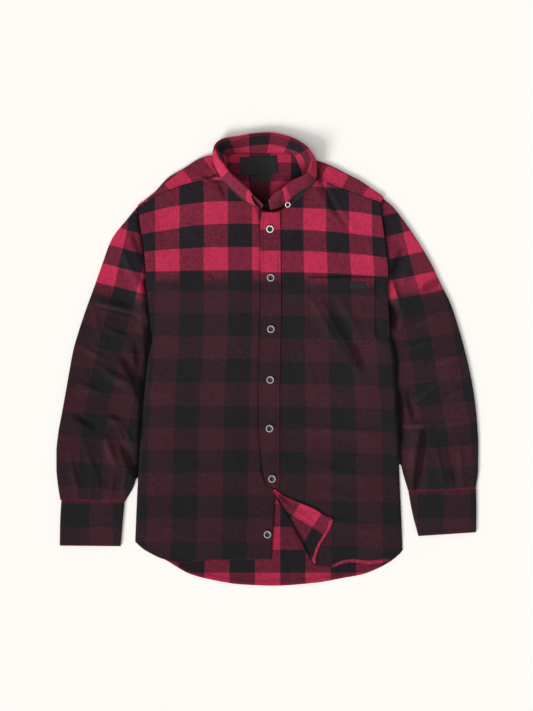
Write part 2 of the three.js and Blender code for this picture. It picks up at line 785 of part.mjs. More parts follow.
// Flattened tube of cloth through the rows of a table, open at both ends, flat underneath
function buildTube(sections, { edge = null, side = 1, crown = TUBE_CROWN } = {}) {
  const topSteps = 9;
  const bottomSteps = 4;
  const arc = [45, 90, 135].map((degrees) => (degrees * Math.PI) / 180);
  const ring = [];
  steps(topSteps).forEach((t) => ring.push({ t, z: 2 * TUBE_RADIUS, dome: Math.sin(Math.PI * t) }));
  const turned = (angle) => ({
    out: TUBE_RADIUS * Math.sin(angle),
    z: TUBE_RADIUS + TUBE_RADIUS * Math.cos(angle),
  });
  arc.forEach((angle) => ring.push({ t: 1, ...turned(angle) }));
  steps(bottomSteps).forEach((t) => ring.push({ t: 1 - t, z: 0 }));
  [...arc].reverse().forEach((angle) => ring.push({ t: 0, ...turned(angle) }));
  const point = (k, j) => {
    const { t, z, out = 0, dome = null } = ring[k];
    const { outerX, outerY, innerX, innerY } = sections[j];
    const width = Math.hypot(innerX - outerX, innerY - outerY);
    const away = t === 0 ? TUBE_RADIUS - out : width - TUBE_RADIUS + out;
    const s = t === 0 || t === 1 ? away / width : lerp(TUBE_RADIUS, width - TUBE_RADIUS, t) / width;
    const y = lerp(outerY, innerY, s);
    let x = lerp(outerX, innerX, s);
    if (edge && j < ARMHOLE_BOW.length) {
      const first = sections[0];
      const y0 = lerp(first.outerY, first.innerY, s);
      x += (edge(y0) + side * ARMHOLE_GAP - lerp(first.outerX, first.innerX, s)) * ARMHOLE_BOW[j];
    }
    const lift = dome === null ? 0 : crown * dome + foldHeight(x, y) * Math.min(1, dome * 2);
    return new THREE.Vector3(x, y, z + lift);
  };
  const last = sections.length - 1;
  const flip = side > 0;
  return wall(ring.length, last, (k, j) => point(flip ? k : ring.length - 1 - k, j), { wrap: true });
}

// Collar stations as vectors, with the stand's direction and the way its back faces
const stations = COLLAR.map((row) => ({
  seam: new THREE.Vector3(row.seamX, row.seamY, row.seamZ),
  fold: new THREE.Vector3(row.foldX, row.foldY, row.foldZ),
  edge: new THREE.Vector3(row.edgeX, row.edgeY, row.edgeZ),
  bulge: row.bulge,
}));
stations.forEach((station, k) => {
  const before = stations[Math.max(k - 1, 0)].fold;
  const after = stations[Math.min(k + 1, stations.length - 1)].fold;
  const run = after.clone().sub(before).normalize();
  station.rise = station.fold.clone().sub(station.seam).normalize();
  station.back = station.rise.clone().cross(run).normalize();
  station.top = station.fold.clone().addScaledVector(station.rise, -FOLD_ROLL);
});

function buildStand() {
  return wall(stations.length - 1, STAND_ROWS, (i, j) => {
    const { seam, top } = stations[i];
    return seam.clone().lerp(top, j / STAND_ROWS);
  }).geometry;
}

function buildFall() {
  const leaves = stations.slice(TAB_STATIONS, stations.length - TAB_STATIONS);
  const turns = [-90, -45, 0, 45, 90].map((degrees) => (degrees * Math.PI) / 180);
  const rows = turns.length + FALL_ROWS - 1;
  return wall(leaves.length - 1, rows, (i, j) => {
    const { top, rise, back, edge, bulge } = leaves[i];
    const centre = top.clone().addScaledVector(rise, 4 * GAP).addScaledVector(back, FOLD_ROLL);
    if (j < turns.length) {
      const angle = turns[j];
      const point = centre.clone().addScaledVector(back, FOLD_ROLL * Math.sin(angle));
      return point.addScaledVector(rise, FOLD_ROLL * 0.8 * Math.cos(angle));
    }
    const start = centre.clone().addScaledVector(back, FOLD_ROLL);
    const t = (j - turns.length + 1) / FALL_ROWS;
    const point = start.lerp(edge, t);
    return point.addScaledVector(back, bulge * Math.sin(Math.PI * t));
  });
}

// Round button: raised rim, sunk well and four holes through it
function buildButton({ diameter, thickness, rim, well, hole, pitch }) {
  const radius = diameter / 2;
  const outline = [
    [0, 0],
    [radius - 0.7, 0],
    [radius, 0.7],
    [radius, thickness - 0.8],
    [radius - 0.8, thickness],
    [radius - rim + 0.3, thickness],
    [radius - rim - 0.7, thickness - well],
    [0, thickness - well],
  ];
  const profile = outline.map(([x, y]) => new THREE.Vector2(x, y));
  const disc = new THREE.LatheGeometry(profile, 16);
  disc.rotateX(Math.PI / 2);
  let body = asManifold(disc);
  for (const [x, y] of [[-1, -1], [1, -1], [1, 1], [-1, 1]]) {
    const drill = new THREE.CylinderGeometry(hole / 2, hole / 2, thickness * 3, 5);
    drill.rotateX(Math.PI / 2);
    drill.translate((x * pitch) / 2, (y * pitch) / 2, 0);
    body = body.subtract(asManifold(drill));
  }
  return asGeometry(body);
}

const frontRight = buildFrontRight();
const frontLeft = buildFrontLeft();
const rightTop = heightOver(frontRight);
const leftTop = heightOver(frontLeft);
const flap = buildFlap(leftTop);
const placket = buildPlacket(leftTop);
const pocket = buildPocket(leftTop);
const placketTop = heightOver(placket);
const pocketTop = heightOver(pocket);
const fall = buildFall();

add("back", buildBack().geometry, COLOURS.dyed);
add("yoke", buildYoke().geometry, COLOURS.red);
add("front_right", frontRight.geometry, COLOURS.dyed);
const leftWithFlap = asManifold(frontLeft.geometry).add(asManifold(flap.geometry));
add("front_left", asGeometry(leftWithFlap), COLOURS.dyed);
add("placket", placket.geometry, COLOURS.placket);
add("pocket", pocket.geometry, COLOURS.dyed);
const pocketLabelBase = pocketTop(POCKET_LABEL.x, POCKET_LABEL.y, 13) + GAP;
add("pocket_label", buildLabel(POCKET_LABEL, pocketLabelBase), COLOURS.label, 0.8);
add("collar_stand", buildStand(), COLOURS.red);
add("collar_fall", fall.geometry, COLOURS.red);
add("neck_label", buildLabel(NECK_LABEL, CLOTH + GAP), COLOURS.label, 0.7);
add("size_label", buildLabel(SIZE_LABEL, CLOTH + GAP), COLOURS.label, 0.7);
add("sleeve_right", buildTube(RIGHT_SLEEVE, { edge: rightEdge, side: -1 }).geometry, COLOURS.dyed);
add("sleeve_left", buildTube(LEFT_SLEEVE, { edge: leftEdge, side: 1 }).geometry, COLOURS.dyed);
add("cuff_right", buildTube(RIGHT_CUFF, { side: -1, crown: 0.3 }).geometry, COLOURS.dyed);
add("cuff_left", buildTube(LEFT_CUFF, { side: 1, crown: 0.3 }).geometry, COLOURS.dyed);

FRONT_BUTTONS.forEach(({ x, y, tilt }, k) => {
  const button = add(`button_${k + 1}`, buildButton(BUTTON), COLOURS.button, 0.35, 0.1);
  const surface = k === FRONT_BUTTONS.length - 1 ? rightTop : placketTop;
  const turn = THREE.MathUtils.degToRad(tilt);
  const lift = (BUTTON.diameter / 2) * Math.sin(turn);
  button.position.set(x, y, surface(x, y, BUTTON.diameter / 2) + GAP + lift);
  button.rotation.y = turn;
});

// Collar button: square to the leaf that it holds down
const collarButton = add("collar_button", buildButton(COLLAR_BUTTON), COLOURS.collarButton, 0.35, 0.1);
const leafAt = heightOver(fall);
const leafPlace = new THREE.Vector3(COLLAR_BUTTON_PLACE.x, COLLAR_BUTTON_PLACE.y, 0);
leafPlace.z = leafAt(leafPlace.x, leafPlace.y);
const span = 3;
const leafSlope = (dx, dy) =>
  (leafAt(leafPlace.x + dx, leafPlace.y + dy) - leafAt(leafPlace.x - dx, leafPlace.y - dy)) / (2 * span);
const leafNormal = new THREE.Vector3(-leafSlope(span, 0), -leafSlope(0, span), 1).normalize();
collarButton.quaternion.setFromUnitVectors(new THREE.Vector3(0, 0, 1), leafNormal);
collarButton.position.copy(leafPlace.addScaledVector(leafNormal, GAP + 0.3));

export default shirt;
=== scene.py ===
"""Flannel shirt laid flat: buffalo check, dip-dyed dark from the chest down, one front corner turned back.

Sizes in the tables are millimetres in the frame of the solids; meshes are made in metres.
"""
import math

import bpy
import numpy as np
from mathutils import Matrix, Vector


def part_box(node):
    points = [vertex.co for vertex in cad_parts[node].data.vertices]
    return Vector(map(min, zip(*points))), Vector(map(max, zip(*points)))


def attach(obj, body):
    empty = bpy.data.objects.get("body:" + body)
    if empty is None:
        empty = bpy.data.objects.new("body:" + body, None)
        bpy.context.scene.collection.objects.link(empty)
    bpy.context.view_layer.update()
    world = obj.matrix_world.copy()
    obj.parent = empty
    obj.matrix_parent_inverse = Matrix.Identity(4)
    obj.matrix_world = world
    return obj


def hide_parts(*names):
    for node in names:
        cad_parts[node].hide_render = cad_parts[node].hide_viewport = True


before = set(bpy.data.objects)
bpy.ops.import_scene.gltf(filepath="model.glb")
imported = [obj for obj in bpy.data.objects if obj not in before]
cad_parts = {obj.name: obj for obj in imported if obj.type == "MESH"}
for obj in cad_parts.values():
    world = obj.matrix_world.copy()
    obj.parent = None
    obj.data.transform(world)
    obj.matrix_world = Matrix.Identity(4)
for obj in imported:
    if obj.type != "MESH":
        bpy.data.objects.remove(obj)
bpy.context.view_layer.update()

MM = 0.001

# Cloth and layers, as in the solids
CLOTH = 1.4
GAP = 0.3
FRONT_TOP = 6.2
OVERLAP_TOP = FRONT_TOP - CLOTH - GAP
HEM_TOP = 2 * CLOTH + GAP + 0.1
ARMHOLE_TOP = FRONT_TOP - 0.4
EDGE_ROLL = 7
BACK_INSET = 3.8
ARMHOLE_GAP = 0.2
BACK_ARMHOLE_GAP = 1
UNDERARM_TUCK = -0.25
YOKE_SEAM_GAP = 0.6
TUBE_RADIUS = 2.8
TUBE_CROWN = 0.8
UNDERARM_Y = 38
ARMHOLE_RUN = 14
BACK_YOKE_Y = 245
HEM_RISE = 32
HEM_DROP = 1.6
OVERLAP = {"outer": -62, "run": 42}
FLAT_PLACKET = {"edge": 24, "run": 20}


def table(names, rows):
    """Columns of a table by name"""
    return dict(zip(names.split(), np.array(rows, float).T))


BODY = table("y right left", [
    (291, -236, 209), (276, -233, 203.5), (243, -228.5, 207.2), (190, -220.8, 214.3), (152, -217.8, 217),
    (115, -215.5, 216.6), (80, -211.3, 218.3), (38, -208.3, 221), (3, -215, 227.6), (-40, -219.5, 230.4),
    (-95, -225, 233.1), (-159, -229.7, 236), (-211, -232.7, 237.9), (-290, -236.3, 241.4),
    (-345, -238.5, 243.5),
])
BACK_HEM = table("x y", [
    (-238.5, -328), (-219, -344), (-185, -360), (-139, -386), (-105, -395.5), (-47, -405), (11, -407.3),
    (87, -402), (138, -393), (170, -387), (203, -374), (225, -361), (243.5, -345),
])
RIGHT_HEM = table("x y", [
    (-238.5, -328), (-219, -344), (-185, -360), (-155, -366), (-114, -362), (-81, -360.7), (7.4, -359.6),
])
LEFT_HEM = table("x y", [
    (84, -371), (115, -374.4), (133, -368), (153, -365), (183, -368), (206, -365.6), (225, -360), (243.5, -344),
])
RIGHT_TOP = table("x y", [
    (-233, 272.5), (-201, 293), (-175, 304.5), (-152, 313), (-112, 322.7), (-79, 329), (-63.6, 315.4),
    (-46.6, 298.4), (-29.6, 281.9), (-14.8, 270.8), (18, 264),
])
LEFT_TOP = table("x y", [
    (-9.9, 265), (8, 264.5), (24, 267.5), (37, 278.5), (50, 292), (62, 309), (71, 328.5), (101, 320),
    (128, 309.5), (165, 295.5), (209, 280),
])
RIGHT_CENTRE = table("y x", [(265, 18), (-210, 17), (-247, 14.2), (-303, 10.3), (-359.6, 7.4)])
PLACKET_EDGE = table("y left right", [
    (265, -9.9, 22.9), (240, -12.4, 23.4), (107, -11.3, 24.7), (-73, -14.9, 21.8), (-131, -13.7, 21.8),
    (-176, -10.3, 21.8), (-210, -5.9, 21.8), (-229, 1.5, 21.3),
])
PLACKET_BOTTOM = (-226, -233.5)

FOLD_A = np.array([5.8, -231.7])
FOLD_C = np.array([84.1, -372.1])
FLAP = table("s reach", [
    (3, 5), (12, 8.5), (24, 14.5), (42.5, 28.6), (54, 38), (73, 52.5), (93.4, 63.3), (101.4, 70.7),
    (115.4, 57.3), (125.6, 39.1), (134.8, 24.5), (150, 9), (157.5, 5),
])
FLAP_CORNER = 101.4
FOLD_RADIUS = 4.2
FOLD_RADIUS_END = 2.1

RIGHT_SHOULDER = table("x ridge", [
    (-78, 368), (-98, 367), (-112, 364.5), (-125, 358.7), (-152, 341), (-175, 327.5), (-201, 300),
    (-215, 288.5), (-233, 277),
])
LEFT_SHOULDER = table("x ridge", [
    (68, 361), (90, 357), (112, 349), (146, 331.6), (167, 320.6), (189, 305.5), (202, 296.8), (209, 291),
])
YOKE_NECK = {"right": -76, "left": 67}
BACK_NECK = table("x y", [
    (-76, 345), (-73.5, 360), (-68.5, 368.5), (-59, 372.4), (-5, 373.4), (38, 372.9), (49.5, 367.5),
    (58, 354), (63.5, 339), (67, 331),
])

RIGHT_SLEEVE = table("outerX outerY innerX innerY", [
    (-233.6, 275, -208.6, 38.3), (-252.5, 251.6, -210.2, 31.1), (-279.5, 216.5, -212, 23.9),
    (-296.1, 173.3, -213.2, 16.7), (-311.9, 128.3, -214.9, 7.7), (-325.1, 92.3, -216.2, -3.1),
    (-338.9, 50.9, -217.9, -17.5), (-348.8, 16.7, -219.9, -37.3), (-356.4, -23.8, -222.7, -66.1),
    (-363.2, -62.5, -225.6, -94.9), (-370.4, -102.1, -228, -123.7), (-376.2, -134.5, -229.8, -150.7),
    (-379.3, -166.9, -231.5, -175.9), (-379.3, -195.7, -233, -199.3), (-376.7, -224.5, -240.1, -227.2),
    (-372.2, -252.9, -256.1, -256.1),
])
LEFT_SLEEVE = table("outerX outerY innerX innerY", [
    (209.6, 289, 221.3, 37.4), (226.3, 274.1, 223.8, 29.3), (249.7, 243.5, 226, 22.1),
    (274.9, 205.7, 226.2, 14.9), (294.7, 171.5, 228, 4.1), (312.7, 133.7, 229.2, -8.5),
    (328.9, 101.3, 230.3, -24.7), (342.4, 61.7, 231.3, -44.5), (354.1, 20.3, 232.4, -66.1),
    (364, -21.1, 233.5, -89.5), (372.2, -67, 234.6, -112.9), (377.1, -111.1, 235.9, -139.9),
    (379.4, -156.1, 237, -166.9), (379.1, -197.5, 242.5, -199.3), (374.9, -232.1, 253.8, -237.9),
])
RIGHT_CUFF = table("outerX outerY innerX innerY", [
    (-370.4, -253.3, -256.9, -256.5), (-372.6, -294, -260.4, -296), (-373.3, -334.8, -263.7, -335.9),
])
LEFT_CUFF = table("outerX outerY innerX innerY", [
    (375.5, -232.5, 253.8, -238.3), (376, -271.3, 260.5, -275), (375.5, -310.9, 271.6, -317.7),
])
ARMHOLE_BOW = [1, 0.6, 0.25, 0]

# Largest folds, as in the solids: positive rows are ridges, negative ones troughs
FOLDS = table("x1 y1 x2 y2 width height", [
    (89, 318, 142, 231, 8, -1.2), (102, 316, 152, 236, 8, 1.5), (112, 112, 149, 26, 9, -1),
    (149, 26, 168, -14, 8, -0.9), (72, -124, 205, -136, 9, 1.1), (60, -190, 180, -214, 10, 1),
    (-319, 103, -242, 89, 8, 1.8), (-232, 139, -216, 52, 8, 2), (-265, 4, -226, -52, 7, -1.2),
    (-298, -16, -242, -50, 8, 1.8), (-285, -106, -267, -111, 7, 1.6), (-290, -140, -272, -192, 7, 1.8),
    (-267, -115, -238, -160, 7, 1.9), (226, 134, 234, 100, 8, 2), (266, -72, 307, -41, 7, 1.6),
    (246, -121, 282, -118, 7, 1.5), (279, -131, 266, -225, 6, -1.3), (268, -131, 257, -222, 7, 1.5),
])
# Smaller creases of the same kind
CREASES = table("x1 y1 x2 y2 width height", [
    (-110, 157, -91, 144, 3.5, -0.7), (-122, 340, -84, 326, 3, 0.8), (-118, 330, -82, 316, 3, -0.7),
    (70, -166, 196, -178, 6, 0.7), (90, -236, 200, -262, 7, 0.7), (110, -290, 215, -318, 8, 0.8),
    (-200, -60, -120, -84, 7, 0.5), (-196, -180, -90, -205, 8, 0.5), (-180, 40, -120, 10, 8, 0.5),
    (-70, 60, -30, -10, 7, 0.5), (-66, -160, -30, -260, 7, 0.6), (-190, -300, -120, -330, 7, 0.6),
    (60, 20, 90, -60, 7, 0.5), (180, 60, 212, 20, 6, 0.7), (190, 120, 214, 90, 6, 0.6),
    (-190, 150, -214, 110, 6, 0.7), (-150, 260, -120, 200, 8, 0.6), (-200, 250, -180, 200, 6, -0.5),
    (60, 250, 52, 200, 6, -0.5), (170, 230, 200, 180, 7, 0.6), (36, 150, 60, 100, 6, 0.5),
    (-215, 5, -190, -40, 5, 0.6), (216, 0, 190, -50, 5, 0.6), (205, -90, 150, -100, 6, 0.5),
    (-318, 98, -238, 78, 3, -1.3), (-221, 97, -214, -3, 6, -1.9), (-240, -38, -224, -76, 8, -1.8),
    (-266, -116, -250, -150, 4, -1.5), (-262, -156, -238, -212, 6, -1.4), (-284, -100, -272, -104, 4, -1),
    (-300, 60, -250, 40, 5, 0.9), (-330, 20, -290, 0, 5, 0.9), (-345, -40, -300, -60, 5, 0.8),
    (-350, -100, -310, -125, 6, -0.9), (-330, -150, -300, -230, 6, 0.9), (-355, -170, -340, -240, 5, 0.9),
    (-250, -190, -262, -250, 4, 1), (-275, -200, -282, -252, 4, 0.9), (-315, -205, -318, -252, 4, 0.8),
    (-240, 30, -232, -20, 5, -0.9), (-262, 200, -236, 140, 6, 0.9), (-245, 230, -228, 180, 5, -0.8),
    (262, 60, 300, 80, 6, 0.9), (250, 20, 290, 34, 5, 0.8), (300, -10, 350, 10, 5, 0.8),
    (316, -70, 356, -52, 5, 0.9), (250, -60, 262, -110, 5, -0.9), (300, -120, 350, -112, 5, 0.8),
    (300, -150, 318, -225, 5, 0.9), (345, -150, 350, -225, 5, 0.9), (330, -185, 336, -232, 4, -0.7),
    (240, 200, 222, 150, 6, -0.9), (262, 190, 240, 130, 6, 0.9), (250, 100, 236, 50, 5, 0.8),
    (222, 98, 229, 56, 6, -2), (238, -66, 240, -150, 5, -1.4), (279, -128, 278, -166, 4, -1.4),
    (278, -160, 264, -236, 4, -1.3), (239, -128, 284, -126, 3, -0.9), (268, -80, 308, -50, 3, -1),
    (96, 116, 146, 32, 5, -1.3), (80, 108, 128, 20, 7, 1.6), (128, 116, 168, 40, 7, 1.3),
    (150, 34, 172, -18, 7, -1.1), (136, 18, 158, -20, 5, 0.8),
    (82, 340, 106, 302, 5, -1.7), (102, 310, 124, 264, 5, -1.5), (120, 272, 144, 232, 5, -1.2),
    (76, 322, 100, 288, 5, 1), (108, 322, 128, 280, 6, 0.9),
    (-316, 96, -300, 40, 6, 0.8), (-226, 150, -214, 110, 5, -0.8), (-228, -80, -226, -150, 6, -1.2),
    (226, 40, 232, -40, 6, -0.9), (232, -50, 236, -120, 6, -0.9), (288, -60, 312, -44, 5, -0.8),
    (120, 272, 142, 232, 4, 0.7), (-128, 316, -88, 300, 4, 0.6), (-214, 262, -196, 230, 5, 0.6),
    (-90, 318, -75, 290, 4, -1.5), (-116, 326, -82, 319, 3, -1.1), (78, 352, 92, 326, 5, -1.6),
    (-100, 352, -84, 330, 4, -1.1), (96, 348, 118, 330, 4, 0.8), (280, 126, 314, 142, 7, -1.2),
])

# The side on which folds are steeper, and how much the cloth draws them out compared with their rows
STEEP_SIDE = (0.62, 0.79)
STEEPNESS = 1.6
RIDGE_GAIN = 1.8
TROUGH_GAIN = 1.6
SPREAD = 1.3
FOLD_TAPER = (0.12, 0.88)
DEEPEST = -2.6
SLEEVE_GAIN = 1.8
LATTICE = 64
FAR = 1e3

POCKET_CLOTH = 0.75
POCKET = {"left": 194.5, "right": 72, "top": 147.2, "band": 31}
POCKET_BOTTOM = table("x y", [(72, 42), (77, 38), (95, 24.5), (170, 24.5), (194.5, 37)])
POCKET_TACK = (117.5, 141.5)
LABEL_CORNER = 0.8
LABEL_SEAM = 1.2
LABELS = {
    "neck_label": {"x": -15.2, "y": 348.5, "width": 67, "height": 33, "turn": 0.06, "on": "yoke_cloth"},
    "size_label": {"x": -10.6, "y": 325.6, "width": 38, "height": 12, "turn": 0.06, "on": "yoke_cloth"},
    "pocket_label": {"x": 162.5, "y": 132.6, "width": 27, "height": 12, "turn": 0.02, "on": "pocket_cloth"},
}

COLLAR = table("seamX seamY seamZ foldX foldY foldZ edgeX edgeY edgeZ bulge", [
    (-9.5, 272.5, 5, -6.3, 278, 18, 0, 0, 0, 0),
    (-17.6, 277, 5, -18.5, 288.6, 33, 0, 0, 0, 0),
    (-25.7, 282.6, 4.5, -25.2, 293.1, 39, -12.3, 268.5, 10.5, 3),
    (-36.5, 292.6, 4.5, -31.5, 301.8, 41, -31.1, 275, 9.5, 4),
    (-54.5, 309.2, 4.5, -49.5, 318.8, 41, -62.5, 301.5, 9.5, 4),
    (-68.5, 324.8, 4, -63.9, 331.2, 40, -78.8, 320, 9.5, 4),
    (-71.6, 338.9, 3.6, -76.8, 347.9, 37, -91.4, 340.7, 9.5, 4),
    (-71, 352.3, 3.6, -86.8, 361.4, 33, -96.8, 356.9, 9.5, 3),
    (-69.6, 364.1, 3.6, -92.7, 378.7, 26, -97.7, 372.3, 7.5, 1),
    (-62.3, 370.1, 3.6, -80.5, 393.5, 18, -76.9, 375.1, 0, 0.5),
    (-45.5, 370.5, 3.6, -49.1, 399.6, 14.5, -47.3, 375, 0, 0.5),
    (-23.9, 370.9, 3.6, -22.1, 404.4, 14, -23.9, 375, 0, 0.5),
    (-2.3, 371.3, 3.6, 3.1, 405.85, 14, -0.5, 375.4, 0, 0.5),
    (21.1, 371.2, 3.6, 30.1, 401.2, 15, 22.9, 375.9, 0, 0.5),
    (39.1, 370.8, 3.6, 57.3, 388.8, 19, 43.7, 376.4, 0, 0.5),
    (49.9, 364.2, 3.6, 73.3, 374.1, 26, 76.1, 372.6, 6.5, 1),
    (57, 348.9, 3.6, 79.6, 357.9, 33, 86.8, 354.3, 9.5, 3),
    (61.8, 334.5, 3.6, 75.1, 341.7, 38, 89.1, 331.7, 9.5, 4),
    (62, 320.6, 4, 65.2, 328.2, 41, 83.1, 313.7, 9.5, 4),
    (52.6, 306.2, 4.5, 49.9, 321.4, 42, 66.8, 297.2, 9.5, 4),
    (40, 291.8, 4.5, 37.3, 313.8, 42, 52.4, 285, 9.5, 4),
    (27.6, 279.8, 4.5, 26.1, 304.8, 40, 36, 267.5, 10.5, 4),
    (15.5, 271.6, 5, 13, 299.3, 26, 0, 0, 0, 0),
    (5.6, 269.4, 5, 1.6, 287.5, 17, 0, 0, 0, 0),
])
COLLAR["k"] = np.arange(len(COLLAR["seamX"]), dtype=float)
TAB_STATIONS = 2
FOLD_ROLL = 2.7
COLLAR_STEPS = 8
COLLAR_MIDDLE_X = -13.5
COLLAR_BACK_Y = 370
COLLAR_SQUARES = table("arc number", [(0, 0.5), (19, 1), (57, 2), (95, 3), (143, 4), (191, 5), (240, 6)])
TAB_ARC = 198

BUTTON = {"radius": 6.65, "thickness": 3, "rim": 1.9, "well": 1.1, "pitch": 1.5}
COLLAR_BUTTON = {"radius": 5, "thickness": 2.4, "rim": 1.4, "well": 0.8, "pitch": 1.15}
COLLAR_BUTTON_PLACE = (35.5, 277)
BUTTON_SIDES = 48
THREAD_ARCH = ((-1, -0.3), (-0.6, 0.25), (0.6, 0.25), (1, -0.3))
FRONT_BUTTONS = table("x y tilt", [
    (4.9, 233.6, 0), (6.1, 146.5, 0), (6.5, 54.2, 0), (5.2, -36.9, 0), (4, -124.2, 0), (8.1, -214.5, 7),
    (0.4, -314.8, 0),
])
PLACKET_BUTTONS = 6
STITCH_SIDES = 6
STITCH_SECTIONS = [(-0.5, 0.35), (-0.28, 1), (0.28, 1), (0.5, 0.35)]

# Check: where a black column starts and how wide a square is at each height, and the heights where rows change
RIGHT_COLUMNS = table("y start width", [
    (300, -70.7, 43.6), (61.7, -70.7, 43.4), (-15.7, -74.3, 43.9), (-94.9, -77.4, 44.6), (-325.3, -81.5, 45.4),
])
LEFT_COLUMNS = table("y start width", [
    (300, 23.9, 41), (232.7, 23.9, 41), (160.7, 23.9, 42.1), (60, 23.9, 42.8), (-127.3, 23.9, 45.4),
    (-325.3, 23.9, 45.9),
])
RIGHT_ROWS = [
    362, 322, 283.9, 243.5, 201.8, 159.8, 122.2, 83.3, 41.2, 1.3, -41.8, -83.7, -123.7, -162.7, -204.1,
    -244.3, -286.7, -328.9, -371, -413,
]
LEFT_ROWS = [
    352, 312, 272.3, 232.7, 194.9, 156.2, 118.3, 78.3, 37.3, -3.8, -44.5, -85, -124.4, -166.1, -205.2, -252,
    -292.3, -334, -376, -418, -460, -502,
]
FIRST_ROW = -1
RIGHT_DROOP = table("y drop", [(260, 23.4), (243.5, 23.4), (201.8, 10.8), (159.8, 3), (120, 0), (-400, 0)])
LEFT_DROOP = table("y drop", [(260, 16.2), (232.7, 16.2), (194.9, 12.6), (156.2, 9), (110, 5.4), (-400, 5.4)])
SLEEVE_WIDTH = 42
RIGHT_SPINE = table("x y v tilt", [
    (-228, 310, -1.5, 16), (-230, 243.5, 0.5, 16), (-243.5, 176.9, 2.5, 15), (-258.7, 108.2, 4.5, 13),
    (-279.5, 34.7, 6.5, 10), (-295.7, -39.1, 8.5, 8), (-311.9, -120.1, 10.5, 6), (-318, -208.3, 12.5, 4),
    (-320, -300, 14.5, 3),
])
LEFT_SPINE = table("x y v tilt", [
    (205, 310, -1.5, -14), (219.1, 241.7, 0.5, -14), (238.9, 164.3, 2.5, -12), (259.6, 95, 4.5, -10),
    (275.8, 18.5, 6.5, -8), (289.3, -62.5, 8.5, -6), (302.8, -139.9, 10.5, -4), (307.3, -213.7, 12.5, -3),
    (308, -300, 14.5, -2),
])
CUFF_SQUARE = 42
RIGHT_CUFF_COLUMNS = ([-420, -369.5, -319.3, -277.2, -257.4, -215], [-1, 0, 1, 2, 3, 4])
LEFT_CUFF_COLUMNS = ([220, 270.4, 317.2, 364.9, 412], [1, 2, 3, 4, 5])
# Where the dark dye sets in: heights on the body, and rows of squares on a sleeve
DYE = {"clear": 160, "full": 130}
DYE_SLEEVE = (3.45, 4.4)


def curve(rows, key, column):
    """Smooth curve through a table that never swings past its rows"""
    order = np.argsort(rows[key])
    xs, ys = rows[key][order], rows[column][order]
    chord = np.diff(ys) / np.diff(xs)
    before, after = np.append(chord[:1], chord), np.append(chord, chord[-1:])
    turning = before * after <= 0
    slopes = np.where(turning, 0, 2 * before * after / np.where(turning, 1, before + after))

    def at(x):
        x = np.asarray(x, float)
        k = np.clip(np.searchsorted(xs, x, side="right") - 1, 0, len(xs) - 2)
        span = xs[k + 1] - xs[k]
        t = np.clip((x - xs[k]) / span, 0, 1)
        rise = ys[k + 1] - ys[k]
        bend = t * (1 - t) * ((slopes[k] * span - rise) * (1 - t) - (slopes[k + 1] * span - rise) * t)
        return ys[k] + rise * t + bend

    return at


def lerp(a, b, t):
    return a + (b - a) * t


def smooth(t):
    t = np.clip(t, 0, 1)
    return t * t * (3 - 2 * t)


def ridges(x, y, folds):
    """Sum of soft ridges and troughs that fade at their ends, each steeper on its side to the upper right"""
    total = np.zeros(np.broadcast(x, y).shape)
    for x1, y1, x2, y2, width, height in zip(*folds.values()):
        run = np.array([x2 - x1, y2 - y1])
        t = np.clip(((x - x1) * run[0] + (y - y1) * run[1]) / (run @ run), 0, 1)
        dx, dy = x - x1 - run[0] * t, y - y1 - run[1] * t
        steep = np.where((dx * STEEP_SIDE[0] + dy * STEEP_SIDE[1]) * height > 0, STEEPNESS, 1)
        away = np.hypot(dx, dy) / (width * SPREAD) * steep
        tall = height * (RIDGE_GAIN if height > 0 else TROUGH_GAIN)
        total += tall * np.exp(-away * away) * np.sin(math.pi * lerp(*FOLD_TAPER, t))
    return total


def folded(x, y):
    return ridges(x, y, FOLDS) + ridges(x, y, CREASES)


def unrest(x, y, size, seed):
    """Smooth random surface between -1 and 1, with swells about `size` mm across"""
    lattice = np.random.default_rng(seed).uniform(-1, 1, (LATTICE, LATTICE))
    fx, fy = np.broadcast_arrays(x / size + 500.5, y / size + 500.5)
    ix, iy = np.floor(fx).astype(int), np.floor(fy).astype(int)
    tx, ty = smooth(fx - ix), smooth(fy - iy)
    here, next_x = ix % LATTICE, (ix + 1) % LATTICE
    low, high = (
        lerp(lattice[here, (iy + up) % LATTICE], lattice[next_x, (iy + up) % LATTICE], tx) for up in (0, 1)
    )
    return lerp(low, high, ty)


def relief(x, y):
    """Folds, creases and the cloth's slight unevenness"""
    swell = 0.6 * unrest(x, y, 38, 3) + 0.3 * unrest(x + 0.5 * y, y, 15, 5) + 0.1 * unrest(x, y + 0.4 * x, 6, 7)
    return np.maximum(folded(x, y) + swell, DEEPEST)


def painted_crease_shade(x, y, gain=1.0):
    """Painted shade in the troughs of the folds, and painted highlight on their crests"""
    height = gain * folded(x, y)
    return 2.1 * smooth(-height / 2.4) - 0.7 * smooth(height / 3.2)


# Materials

def srgb(r, g, b):
    """Linear colour from eight-bit sRGB values"""
    linear = [((c / 255 + 0.055) / 1.055) ** 2.4 if c > 10 else c / 255 / 12.92 for c in (r, g, b)]
    return (*linear, 1)


